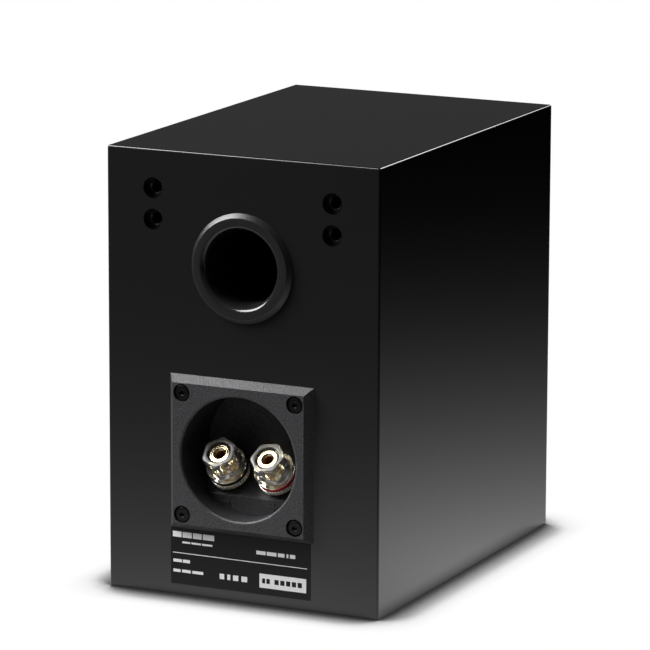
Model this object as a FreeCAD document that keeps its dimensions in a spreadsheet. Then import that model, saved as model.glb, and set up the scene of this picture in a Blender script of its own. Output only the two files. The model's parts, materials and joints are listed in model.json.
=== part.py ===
import FreeCAD, Part
import Sketcher
import math
import os

Vec = FreeCAD.Vector
Turn = FreeCAD.Rotation

# A compact two-way bookshelf loudspeaker. Millimetres, +Z up, front towards -Y.
# The origin is the middle of the cabinet's footprint, on the surface it stands on.

SIZES = {
    # cabinet
    "cabinet_width": 140,
    "cabinet_depth": 200,
    "cabinet_height": 212,
    "wall": 12,
    "baffle_thickness": 15,
    "rear_thickness": 12,
    "edge_round": 1,
    # wall-bracket sockets
    "bracket_span": 92,
    "bracket_pitch": 14.8,
    "bracket_height": 186.2,
    "insert_radius": 5,
    "insert_recess": 3.5,
    "insert_bore": 2.55,
    "insert_chamfer": 0.65,
    "press_gap": 0.05,
    # reflex port
    "port_height": 159.5,
    "port_bore": 18,
    "port_wall": 2,
    "port_length": 108,
    "port_lip": 3.4,
    "port_rim_slope": 1.9,
    "port_proud": 2.5,
    "port_flare": 2.6,
    "port_collar_wall": 2,
    "port_collar_length": 22,
    "port_shoulder": 2,
    "fit_gap": 0.25,
    # terminal cup
    "cup_height": 69.7,
    "cup_half": 37.1,
    "cup_proud": 4.5,
    "cup_bevel": 3.2,
    "cup_mouth": 29.5,
    "cup_lip": 1.2,
    "cup_wall": 2.3,
    "cup_depth": 29,
    "cup_back_wall": 2.5,
    "cup_screw_half": 29.2,
    "cup_screw_turn": 17,
    "ledge_depth": 12.5,
    "ledge_rise": 8.8,
    "ramp_wall": 3,
    "mark_height": 0.4,
    "mark_span": 4.6,
    "mark_stroke": 0.8,
    "mark_rise": 5.5,
    "seal_inner": 32.6,
    "seal_outer": 36,
    "seal_thickness": 0.8,
    "counterbore_radius": 4.25,
    "counterbore_floor": 1.2,
    "cup_screw_radius": 1.95,
    "cup_screw_head": 3.5,
    "cup_screw_head_height": 2.8,
    "socket_radius": 1.44,
    "socket_depth": 1.5,
    "tee_flange_radius": 7.5,
    "tee_flange_thickness": 1.2,
    "tee_barrel_radius": 2.9,
    "tee_barrel_length": 7,
    "thread_gap": 0.05,
    # binding posts, measured along their own axis from the ramp
    "post_offset": 12.5,
    "post_up_ramp": 10.6,
    "collar_radius": 8.4,
    "collar_height": 2.9,
    "spigot_radius": 4.4,
    "spigot_length": 2.8,
    "seat_radius": 9.65,
    "seat_thickness": 2.7,
    "stem_radius": 4,
    "stem_top": 19.6,
    "stem_flat": 3.5,
    "tail_radius": 3,
    "tail_length": 16,
    "banana_bore": 2.05,
    "banana_depth": 16,
    "banana_flare": 0.85,
    "wire_hole": 1.4,
    "wire_hole_lift": 0.5,
    "slide_gap": 0.12,
    "ring_radius": 9.3,
    "ring_thickness": 1.6,
    "core_radius": 6.2,
    "core_neck": 4.9,
    "core_body_length": 7.1,
    "skirt_radius": 9.6,
    "skirt_height": 3.6,
    "skirt_chamfer": 1,
    "knob_radius": 8.8,
    "knob_top": 20.8,
    "knob_well": 5.8,
    "washer_radius": 7.5,
    "washer_thickness": 1.5,
    "nut_radius": 5.75,
    "nut_thickness": 4,
    "tag_thickness": 0.8,
    "tag_radius": 5.2,
    "tag_length": 14,
    "tag_half_width": 2.2,
    "post_nut_turn": 12,
    "post_nut_step": 20,
    # rating label
    "label_left": 37.2,
    "label_right": 35.5,
    "label_bottom": 5.5,
    "label_top": 32.5,
    "label_thickness": 0.2,
    # woofer, measured outwards from the face of the baffle
    "woofer_height": 68,
    "woofer_radius": 58,
    "woofer_flange": 4,
    "woofer_hole": 50,
    "woofer_screw_circle": 54,
    "woofer_screw_radius": 1.7,
    "woofer_screw_head": 3.1,
    "woofer_screw_head_height": 1.6,
    "woofer_screw_length": 14,
    "woofer_screw_count": 6,
    "basket_wall": 2.2,
    "basket_neck": 34,
    "basket_depth": 38,
    "basket_window_half": 11,
    "basket_window_margin": 3,
    "basket_ledge_width": 3,
    "basket_ledge_thickness": 1,
    "basket_floor": 2,
    "spider_ledge_depth": 28,
    "trim_inner": 46.9,
    "trim_outer": 50.4,
    "trim_proud": 0.6,
    "trim_chamfer": 0.6,
    "trim_gap": 0.1,
    "lip_depth": 2.5,
    "skin": 0.5,
    "surround_inner": 39,
    "surround_outer": 46.5,
    "cone_edge": 38.5,
    "cone_slope": 32,
    "cone_thickness": 0.8,
    "glue_lap": 2,
    "glue_gap": 0.05,
    "former_radius": 10.2,
    "former_wall": 0.25,
    "former_bottom": 51,
    "former_top": 19,
    "winding_wall": 0.35,
    "winding_bottom": 46.5,
    "winding_top": 34.5,
    "magnet_gap": 0.3,
    "pole_setback": 0.5,
    "motor_plate": 5,
    "motor_plate_radius": 37,
    "magnet_radius": 40,
    "magnet_bore": 17,
    "magnet_thickness": 14,
    "dust_cap_radius": 16,
    "dust_cap_rise": 4.5,
    "dust_cap_thickness": 0.6,
    "dust_cap_hem": 1.4,
    "dust_cap_lift": 0.1,
    "spider_waves": 5,
    "spider_wave_height": 0.7,
    "spider_hem": 3,
    "spider_collar": 1,
    "spider_gap": 0.2,
    "gasket_thickness": 0.6,
    "tag_strip_half_width": 9,
    "tag_strip_thickness": 2,
    "tag_strip_boss": 1,
    "woofer_tag_length": 4.5,
    "woofer_tag_width": 3,
    "woofer_tag_thickness": 0.8,
    "woofer_tag_inset": 0.6,
    "narrow_tag": 2.5,
    "wide_tag": 5.5,
    "recess_gap": 0.3,
    "flange_chamfer": 1,
    "screw_sink": 0.2,
    "screw_socket_scale": 0.8,
    "screw_socket_floor": 0.3,
    "gasket_inset": 0.5,
    "gasket_clearance": 0.3,
    "gasket_screw_gap": 0.1,
    # tweeter, measured outwards from the face of the baffle
    "tweeter_height": 166,
    "tweeter_radius": 35,
    "tweeter_plate": 5,
    "tweeter_hole": 28.5,
    "tweeter_horn_mouth": 24,
    "tweeter_horn_throat": 17,
    "tweeter_horn_step": 1.5,
    "tweeter_screw_circle": 31.7,
    "tweeter_screw_radius": 1.4,
    "tweeter_screw_head": 2.6,
    "tweeter_screw_head_height": 1.4,
    "tweeter_screw_length": 13,
    "tweeter_screw_count": 4,
    "dome_radius": 12.9,
    "dome_rise": 4.8,
    "dome_thickness": 0.3,
    "tweeter_lip": 19,
    "tweeter_lip_gap": 0.2,
    "tweeter_roll": 16.2,
    "tweeter_top_plate": 4,
    "tweeter_top_plate_radius": 25,
    "tweeter_magnet_radius": 27,
    "tweeter_magnet_bore": 16,
    "tweeter_magnet_thickness": 10,
    "tweeter_coil_inner": 12.35,
    "tweeter_coil_outer": 12.85,
    "tweeter_coil_length": 5,
    # crossover
    "board_half_width": 42,
    "board_front": -22,
    "board_back": 40,
    "board_thickness": 1.6,
    "board_screw_inset": 5,
    "board_screw_radius": 1.5,
    "board_screw_head": 2.8,
    "board_screw_head_height": 1.8,
    "board_screw_bite": 8,
    "board_screw_gap": 0.5,
    "standoff_radius": 3.5,
    "standoff_height": 6,
    "choke_radius": 17,
    "choke_bore": 6.5,
    "choke_height": 14,
    "choke_rim": 1,
    "choke_rim_taper": 0.5,
    "choke_waist": 2,
    "choke_x": -17,
    "choke_y": 9,
    "capacitor_radius": 7,
    "capacitor_length": 27,
    "capacitor_x": 4,
    "capacitor_y": 2,
    "capacitor_pitch": 17,
    "resistor_length": 25,
    "resistor_side": 7,
    "resistor_x": -8,
    "resistor_inset": 10,
    # damping
    "pad_thickness": 16,
    "pad_gap": 0.3,
    "top_pad_half_width": 48,
    "top_pad_front": -45,
    "top_pad_back": 70,
    "side_pad_front": -28,
    "side_pad_back": 58,
    "side_pad_bottom": 46,
    "side_pad_top": 130,
    # internal leads
    "lead_radius": 1.1,
}

doc = FreeCAD.newDocument("Loudspeaker")
sheet = doc.addObject("Spreadsheet::Sheet", "Sizes")
for row, (name, amount) in enumerate(SIZES.items(), start=1):
    sheet.set("A%d" % row, name)
    sheet.set("B%d" % row, str(amount))
    sheet.setAlias("B%d" % row, name)
doc.recompute()


class Size:
    """A size: its number now, and the sheet formula that gives it."""

    def __init__(self, number, formula):
        self.number = float(number)
        self.formula = formula

    def __add__(self, other):
        return Size(self.number + number(other), "(%s + %s)" % (self.formula, formula(other)))

    def __radd__(self, other):
        return as_size(other) + self

    def __sub__(self, other):
        return Size(self.number - number(other), "(%s - %s)" % (self.formula, formula(other)))

    def __rsub__(self, other):
        return as_size(other) - self

    def __mul__(self, other):
        return Size(self.number * number(other), "(%s * %s)" % (self.formula, formula(other)))

    def __rmul__(self, other):
        return as_size(other) * self

    def __truediv__(self, other):
        return Size(self.number / number(other), "(%s / %s)" % (self.formula, formula(other)))

    def __neg__(self):
        return Size(-self.number, "(-1 * %s)" % self.formula)


def number(item):
    return item.number if isinstance(item, Size) else float(item)


def formula(item):
    return item.formula if isinstance(item, Size) else "(%.6f)" % float(item)


def as_size(item):
    return item if isinstance(item, Size) else Size(item, formula(item))


def named(name):
    """The size that the sheet holds under this name."""
    return Size(sheet.get(name), "Sizes." + name)


def tangent(angle):
    """The tangent of a size in degrees."""
    return Size(math.tan(math.radians(angle.number)), "tan(%s * 1 deg)" % angle.formula)


def bind(thing, prop, item):
    """Tie one property of an object to a size."""
    if isinstance(item, Size):
        thing.setExpression(prop, item.formula)
    else:
        setattr(thing, prop, item)


# Directions of a piece's own +Z axis.
UPRIGHT = Turn()
OUT_FRONT = Turn(Vec(1, 0, 0), 90)
OUT_REAR = Turn(Vec(0, 1, 1), 180)
OUT_RAMP = Turn(Vec(1, 0, 0), -45)
HALF_ROOT = math.sqrt(0.5)

subparts = []


def place(thing, x=0, y=0, z=0, turn=UPRIGHT):
    thing.Placement = FreeCAD.Placement(Vec(number(x), number(y), number(z)), turn)
    for axis, item in (("x", x), ("y", y), ("z", z)):
        if isinstance(item, Size):
            thing.setExpression("Placement.Base." + axis, item.formula)


def body(name, x=0, y=0, z=0, turn=UPRIGHT):
    """A named sub-part built from sketches, at its place in the loudspeaker."""
    part = doc.addObject("PartDesign::Body", name)
    part.Label = name
    part.AllowCompound = True
    place(part, x, y, z, turn)
    subparts.append(part)
    return part


def shaped(name, shape, x=0, y=0, z=0, turn=UPRIGHT):
    """A named sub-part whose solid is made directly."""
    part = doc.addObject("Part::Feature", name)
    part.Label = name
    part.Shape = shape
    place(part, x, y, z, turn)
    subparts.append(part)
    return part


def sketch(part, plane="XY_Plane", lift=None, turn=None):
    """An empty sketch on one of the sub-part's own planes, turned, then lifted along its normal."""
    drawn = part.newObject("Sketcher::SketchObject", "Sketch")
    origin = [item for item in part.Origin.OriginFeatures if item.Role == plane][0]
    drawn.AttachmentSupport = [(origin, "")]
    drawn.MapMode = "FlatFace"
    turn = turn or UPRIGHT
    lift = as_size(lift or 0)
    normal = turn.multVec(Vec(0, 0, 1))
    drawn.AttachmentOffset = FreeCAD.Placement(normal * lift.number, turn)
    for axis in "xyz":
        share = getattr(normal, axis)
        if abs(share) > 1e-9:
            drawn.setExpression("AttachmentOffset.Base." + axis, (lift * share).formula)
    return drawn


def fix(drawn, kind, geometry, point, item):
    """Hold one coordinate of a sketch point at a size."""
    held = drawn.addConstraint(Sketcher.Constraint(kind, -1, 1, geometry, point, number(item)))
    if isinstance(item, Size):
        drawn.setExpression("Constraints[%d]" % held, item.formula)


def disc(drawn, x, y, radius):
    circle = Part.Circle(Vec(number(x), number(y), 0), Vec(0, 0, 1), number(radius))
    geometry = drawn.addGeometry(circle, False)
    fix(drawn, "DistanceX", geometry, 3, x)
    fix(drawn, "DistanceY", geometry, 3, y)
    held = drawn.addConstraint(Sketcher.Constraint("Radius", geometry, number(radius)))
    if isinstance(radius, Size):
        drawn.setExpression("Constraints[%d]" % held, radius.formula)


def arc_between(start, end, across, side):
    """The arc from start to end whose centre has the given x; side +1 turns left, -1 right."""
    (x0, y0), (x1, y1) = start, end
    middle_x, middle_y = (x0 + x1) / 2, (y0 + y1) / 2
    run_x, run_y = x1 - x0, y1 - y0
    axis, amount = across
    if axis == "x":
        centre = (amount, middle_y - (amount - middle_x) * run_x / run_y)
    else:
        centre = (middle_x - (amount - middle_y) * run_y / run_x, amount)
    radius = math.hypot(x0 - centre[0], y0 - centre[1])
    first = math.atan2(y0 - centre[1], x0 - centre[0])
    last = math.atan2(y1 - centre[1], x1 - centre[0])
    circle = Part.Circle(Vec(centre[0], centre[1], 0), Vec(0, 0, 1), radius)
    if side > 0:
        return Part.ArcOfCircle(circle, first, last)
    return Part.ArcOfCircle(circle, last, first)


def outline(drawn, corners):
    """A closed outline. A corner is (x, y), or (x, y, axis, amount, side) to start an arc there:
    axis and amount place the arc's centre, and side is +1 for a left turn, -1 for a right one."""
    count = len(corners)
    ends = []
    for index, corner in enumerate(corners):
        after = corners[(index + 1) % count]
        start = (number(corner[0]), number(corner[1]))
        end = (number(after[0]), number(after[1]))
        if len(corner) == 2:
            line = Part.LineSegment(Vec(start[0], start[1], 0), Vec(end[0], end[1], 0))
            geometry = drawn.addGeometry(line, False)
            ends.append((geometry, 1, 2))
            continue
        axis, amount, side = corner[2:]
        arc = arc_between(start, end, (axis, number(amount)), side)
        geometry = drawn.addGeometry(arc, False)
        ends.append((geometry, 1, 2) if side > 0 else (geometry, 2, 1))
        fix(drawn, "DistanceX" if axis == "x" else "DistanceY", geometry, 3, amount)
    for index, (geometry, first, last) in enumerate(ends):
        following, its_first, its_last = ends[(index + 1) % count]
        drawn.addConstraint(Sketcher.Constraint("Coincident", geometry, last, following, its_first))
        fix(drawn, "DistanceX", geometry, first, corners[index][0])
        fix(drawn, "DistanceY", geometry, first, corners[index][1])


def rectangle(drawn, left, low, right, high):
    outline(drawn, [(left, low), (right, low), (right, high), (left, high)])


def polygon(drawn, x, y, radius, sides, first_angle=0):
    corners = []
    for index in range(sides):
        angle = math.radians(first_angle + 360 * index / sides)
        corners.append((x + radius * math.cos(angle), y + radius * math.sin(angle)))
    outline(drawn, corners)


def pad(part, drawn, length, back=False, both=False, taper=None):
    feature = part.newObject("PartDesign::Pad", "Pad")
    feature.Profile = drawn
    bind(feature, "Length", length)
    feature.Reversed = back
    if both:
        feature.SideType = "Symmetric"
    if taper is not None:
        bind(feature, "TaperAngle", taper)
    return feature


def pocket(part, drawn, length, back=False, both=False):
    """Cut the sketch out, and make sure that the cut met the solid."""
    doc.recompute()
    before = part.Shape.Volume
    feature = part.newObject("PartDesign::Pocket", "Pocket")
    feature.Profile = drawn
    bind(feature, "Length", length)
    feature.Reversed = back
    if both:
        feature.SideType = "Symmetric"
    doc.recompute()
    if not feature.Shape.Volume < before:
        raise RuntimeError("a pocket in %s cuts nothing" % part.Label)
    return feature


def revolve(part, drawn):
    feature = part.newObject("PartDesign::Revolution", "Revolution")
    feature.Profile = drawn
    feature.ReferenceAxis = (drawn, ["V_Axis"])
    feature.Angle = 360
    return feature


def repeat_round(part, features, count, plane="XY_Plane"):
    """Repeat features about the axis square to the plane."""
    pattern = part.newObject("PartDesign::PolarPattern", "Pattern")
    axis = {"XY_Plane": "Z_Axis", "XZ_Plane": "Y_Axis"}[plane]
    origin = [item for item in part.Origin.OriginFeatures if item.Role == axis][0]
    pattern.Originals = features
    pattern.Axis = (origin, [""])
    pattern.Angle = 360
    pattern.Occurrences = int(count.number)
    pattern.setExpression("Occurrences", count.formula)
    part.Tip = pattern
    return pattern


def dress(part, kind, edge_test, amount):
    """Fillet or chamfer every edge that passes the test."""
    doc.recompute()
    base = part.Tip
    names = []
    for index, edge in enumerate(base.Shape.Edges, start=1):
        if edge_test(edge):
            names.append("Edge%d" % index)
    if not names:
        raise RuntimeError("no edge to %s on %s" % (kind, part.Label))
    feature = part.newObject("PartDesign::" + kind, kind)
    feature.Base = (base, names)
    bind(feature, "Radius" if kind == "Fillet" else "Size", amount)
    return feature


def on_circle(radius, **level):
    """A test for circular edges of this radius, at this level along one axis."""
    def test(edge):
        if not isinstance(edge.Curve, Part.Circle):
            return False
        if abs(edge.Curve.Radius - radius) > 0.01:
            return False
        return all(abs(getattr(edge.Curve.Center, axis) - at) < 0.01 for axis, at in level.items())
    return test


def turned(name, corners, *where):
    """A round piece: the outline in (radius, height) turned about the piece's own axis."""
    part = body(name, *where)
    profile = sketch(part, "XZ_Plane")
    outline(profile, corners)
    revolve(part, profile)
    return part


def ring_corners(inner, outer, low, high):
    return [(inner, low), (outer, low), (outer, high), (inner, high)]


def around(circle, count, first_angle):
    """Places evenly round a circle, as pairs of sizes."""
    places = []
    for index in range(int(number(count))):
        angle = math.radians(first_angle + 360.0 * index / int(number(count)))
        places.append((circle * math.cos(angle), circle * math.sin(angle)))
    return places


# ---------------------------------------------------------------- cabinet

half_width = named("cabinet_width") / 2
front_face = -named("cabinet_depth") / 2
rear_face = named("cabinet_depth") / 2
wall = named("wall")
height = named("cabinet_height")
baffle_back = front_face + named("baffle_thickness")
rear_inside = rear_face - named("rear_thickness")
recess_gap = named("recess_gap")
gasket = named("gasket_thickness")


def outer_edge(skip_level):
    """A test for the cabinet panel's outer edges, leaving out the glued face's own edges."""
    def test(edge):
        box = edge.BoundBox
        if box.YLength < 0.001:
            return abs(box.YMin - skip_level) > 0.001
        return True
    return test


def make_wrap():
    part = body("cabinet_wrap", 0, rear_inside, 0)
    section = sketch(part, "XZ_Plane")
    rectangle(section, -half_width, 0, half_width, height)
    pad(part, section, rear_inside - baffle_back)
    dress(part, "Fillet", lambda edge: edge.BoundBox.YLength > 1, named("edge_round"))
    inside = sketch(part, "XZ_Plane")
    rectangle(inside, wall - half_width, wall, half_width - wall, height - wall)
    pocket(part, inside, rear_inside - baffle_back, back=True)
    feet = sketch(part, "XY_Plane", wall)
    for x, y in board_screw_places():
        disc(feet, x, y - rear_inside, named("board_screw_radius") + named("thread_gap"))
    pocket(part, feet, named("board_screw_bite"))


def make_baffle():
    part = body("front_baffle", 0, baffle_back, 0)
    panel = sketch(part, "XZ_Plane")
    rectangle(panel, -half_width, 0, half_width, height)
    pad(part, panel, named("baffle_thickness"))
    dress(part, "Fillet", outer_edge(0), named("edge_round"))
    front = named("baffle_thickness")
    drivers = (
        ("woofer", named("woofer_height"), named("woofer_flange")),
        ("tweeter", named("tweeter_height"), named("tweeter_plate")),
    )
    for name, level, plate in drivers:
        recess = sketch(part, "XZ_Plane", front)
        disc(recess, 0, level, named(name + "_radius") + recess_gap)
        pocket(part, recess, plate + gasket)
        hole = sketch(part, "XZ_Plane", front)
        disc(hole, 0, level, named(name + "_hole"))
        pocket(part, hole, front)
        pilots = sketch(part, "XZ_Plane", front)
        for x, y in driver_screws(name):
            disc(pilots, x, y + level, named(name + "_screw_radius") + named("thread_gap"))
        pocket(part, pilots, front)


def driver_screws(name):
    first_angle = 90.0 if name == "woofer" else 45.0
    return around(named(name + "_screw_circle"), named(name + "_screw_count"), first_angle)


def bracket_places():
    half_span = named("bracket_span") / 2
    half_pitch = named("bracket_pitch") / 2
    level = named("bracket_height")
    return [(x, level + dz) for x in (-half_span, half_span) for dz in (-half_pitch, half_pitch)]


def cup_corners():
    half = named("cup_screw_half")
    return [(x, z) for x in (-half, half) for z in (-half, half)]


def make_rear_panel():
    thickness = named("rear_thickness")
    part = body("rear_panel", 0, rear_inside, 0)
    panel = sketch(part, "XZ_Plane")
    rectangle(panel, -half_width, 0, half_width, height)
    pad(part, panel, thickness, back=True)
    dress(part, "Fillet", outer_edge(0), named("edge_round"))
    holes = sketch(part, "XZ_Plane")
    disc(holes, 0, named("port_height"), port_collar() + named("fit_gap"))
    disc(holes, 0, named("cup_height"), cup_outer() + named("fit_gap"))
    for x, z in bracket_places():
        disc(holes, x, z, named("insert_radius"))
    for x, z in cup_corners():
        disc(holes, x, z + named("cup_height"), named("tee_barrel_radius") + named("thread_gap"))
    pocket(part, holes, thickness)


def make_bracket_inserts():
    part = body("bracket_inserts", 0, rear_inside, 0)
    length = named("rear_thickness") - named("insert_recess")
    sleeves = sketch(part, "XZ_Plane")
    for x, z in bracket_places():
        disc(sleeves, x, z, named("insert_radius") - named("press_gap"))
        disc(sleeves, x, z, named("insert_bore"))
    pad(part, sleeves, length, back=True)
    mouth = on_circle(named("insert_bore").number, y=length.number)
    dress(part, "Chamfer", mouth, named("insert_chamfer"))


# ---------------------------------------------------------------- reflex port

def port_tube_radius():
    return named("port_bore") + named("port_wall")


def port_collar():
    return port_tube_radius() + named("press_gap") + named("port_collar_wall")


def make_port():
    bore = named("port_bore")
    proud = named("port_proud")
    flare = named("port_flare")
    shoulder = named("port_shoulder")
    socket = port_tube_radius() + named("press_gap")
    end = -named("port_collar_length")
    face = bore + flare + named("port_lip")
    where = (0, rear_face, named("port_height"), OUT_REAR)
    turned("port_flange", [
        (bore, -shoulder),
        (socket, -shoulder),
        (socket, end),
        (port_collar(), end),
        (port_collar(), 0),
        (face + named("port_rim_slope"), 0),
        (face, proud),
        (bore + flare, proud, "x", bore + flare, 1),
        (bore, proud - flare),
    ], *where)
    low = -shoulder - named("port_length")
    turned("port_tube", ring_corners(bore, port_tube_radius(), low, -shoulder), *where)


# ---------------------------------------------------------------- terminal cup

def cup_outer():
    return named("cup_mouth") + named("cup_wall")


def cup_ledge():
    """Height of the ramp's foot from the middle of the cup."""
    return named("ledge_rise") - named("cup_mouth")


def post_foot():
    """Where a binding post's axis meets the ramp: (y, z) in the loudspeaker."""
    along = named("post_up_ramp") * HALF_ROOT
    y = rear_face + named("cup_proud") - named("ledge_depth") - along
    z = named("cup_height") + cup_ledge() + along
    return y, z


def make_terminal_cup():
    proud = named("cup_proud")
    half = named("cup_half")
    mouth = named("cup_mouth")
    part = body("terminal_cup", 0, rear_face, named("cup_height"))
    plate = sketch(part, "XZ_Plane")
    rectangle(plate, -half, -half, half, half)
    slope = -math.degrees(math.atan(SIZES["cup_bevel"] / SIZES["cup_proud"]))
    bevel = pad(part, plate, proud, back=True, taper=slope)
    bevel.setExpression("TaperAngle", "-atan(Sizes.cup_bevel / Sizes.cup_proud)")
    back = named("cup_depth") - proud + named("cup_back_wall")
    barrel = sketch(part, "XZ_Plane")
    disc(barrel, 0, 0, cup_outer())
    pad(part, barrel, back)
    bowl = sketch(part, "XZ_Plane", -proud)
    disc(bowl, 0, 0, mouth)
    pocket(part, bowl, named("cup_depth"), back=True)

    riser = proud - named("ledge_depth")
    ledge = cup_ledge()
    back_wall = proud - named("cup_depth")
    outside = -back
    below = -cup_outer() - 2
    inner_wall = riser - named("cup_back_wall")
    ramp_shift = named("ramp_wall") * math.sqrt(2)
    ramp_top = ledge + riser - back_wall
    under_top = ledge + riser - ramp_shift - outside
    under_foot = ledge + riser - ramp_shift - inner_wall
    floor = sketch(part, "YZ_Plane")
    outline(floor, [
        (riser, below),
        (riser, ledge),
        (back_wall, ramp_top),
        (outside, ramp_top),
        (outside, under_top),
        (inner_wall, under_foot),
        (inner_wall, below),
    ])
    pad(part, floor, 2 * cup_outer() + 4, both=True)
    beyond = outside - 4
    trim = sketch(part, "XZ_Plane")
    disc(trim, 0, 0, 3 * cup_outer())
    disc(trim, 0, 0, cup_outer())
    pocket(part, trim, -beyond, back=True)
    under = sketch(part, "YZ_Plane")
    outline(under, [
        (inner_wall, 2 * below),
        (inner_wall, under_foot),
        (outside, under_top),
        (beyond, under_top),
        (beyond, 2 * below),
    ])
    pocket(part, under, 4 * cup_outer(), both=True)

    groove = sketch(part, "XZ_Plane")
    disc(groove, 0, 0, named("seal_outer") + named("fit_gap"))
    disc(groove, 0, 0, cup_outer())
    pocket(part, groove, named("seal_thickness"))
    bores = sketch(part, "XZ_Plane", -proud)
    through = sketch(part, "XZ_Plane", -proud)
    for x, z in cup_corners():
        disc(bores, x, z, named("counterbore_radius"))
        disc(through, x, z, named("cup_screw_radius") + named("fit_gap"))
    pocket(part, bores, proud - named("counterbore_floor"), back=True)
    pocket(part, through, proud, back=True)

    offset = named("post_offset")
    post_holes = sketch(part, "XY_Plane", (ledge + riser) * HALF_ROOT, OUT_RAMP)
    centre = (riser - ledge) * HALF_ROOT - named("post_up_ramp")
    for x in (-offset, offset):
        disc(post_holes, x, centre, named("spigot_radius") + named("slide_gap"))
    pocket(part, post_holes, named("ramp_wall") + 1)

    span = named("mark_span") / 2
    stroke = named("mark_stroke") / 2
    level = named("mark_rise") - mouth
    marks = sketch(part, "XZ_Plane", -riser)
    rectangle(marks, offset - span, level - stroke, offset + span, level + stroke)
    outline(marks, [
        (-offset - span, level - stroke),
        (-offset - stroke, level - stroke),
        (-offset - stroke, level - span),
        (-offset + stroke, level - span),
        (-offset + stroke, level - stroke),
        (-offset + span, level - stroke),
        (-offset + span, level + stroke),
        (-offset + stroke, level + stroke),
        (-offset + stroke, level + span),
        (-offset - stroke, level + span),
        (-offset - stroke, level + stroke),
        (-offset - span, level + stroke),
    ])
    pad(part, marks, named("mark_height"), back=True)
    dress(part, "Fillet", on_circle(mouth.number, y=proud.number), named("cup_lip"))


def make_cup_fasteners():
    where = (0, rear_face, named("cup_height"))
    seal = body("cup_gasket", *where)
    band = sketch(seal, "XZ_Plane")
    disc(band, 0, 0, named("seal_outer"))
    disc(band, 0, 0, named("seal_inner"))
    pad(seal, band, named("seal_thickness"), back=True)

    screws = body("cup_screws", *where)
    floor = named("counterbore_floor")
    heads = sketch(screws, "XZ_Plane", -floor)
    shanks = sketch(screws, "XZ_Plane", -floor)
    sockets = sketch(screws, "XZ_Plane", -floor - named("cup_screw_head_height"))
    for index, (x, z) in enumerate(cup_corners()):
        disc(heads, x, z, named("cup_screw_head"))
        disc(shanks, x, z, named("cup_screw_radius"))
        polygon(sockets, x, z, named("socket_radius"), 6, SIZES["cup_screw_turn"] * index)
    pad(screws, heads, named("cup_screw_head_height"), back=True)
    pad(screws, shanks, named("rear_thickness") + floor)
    pocket(screws, sockets, named("socket_depth"), back=True)

    nuts = body("cup_tee_nuts", *where)
    flanges = sketch(nuts, "XZ_Plane", named("rear_thickness"))
    barrels = sketch(nuts, "XZ_Plane", named("rear_thickness"))
    for x, z in cup_corners():
        disc(flanges, x, z, named("tee_flange_radius"))
        disc(flanges, x, z, named("cup_screw_radius") + named("thread_gap"))
        disc(barrels, x, z, named("tee_barrel_radius"))
        disc(barrels, x, z, named("cup_screw_radius") + named("thread_gap"))
    pad(nuts, flanges, named("tee_flange_thickness"))
    pad(nuts, barrels, named("tee_barrel_length"), back=True)


def make_label():
    part = body("rating_label", 0, rear_face, 0)
    plate = sketch(part, "XZ_Plane")
    rectangle(plate, -named("label_right"), named("label_bottom"), named("label_left"), named("label_top"))
    pad(part, plate, named("label_thickness"), back=True)


# ---------------------------------------------------------------- binding posts

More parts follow.
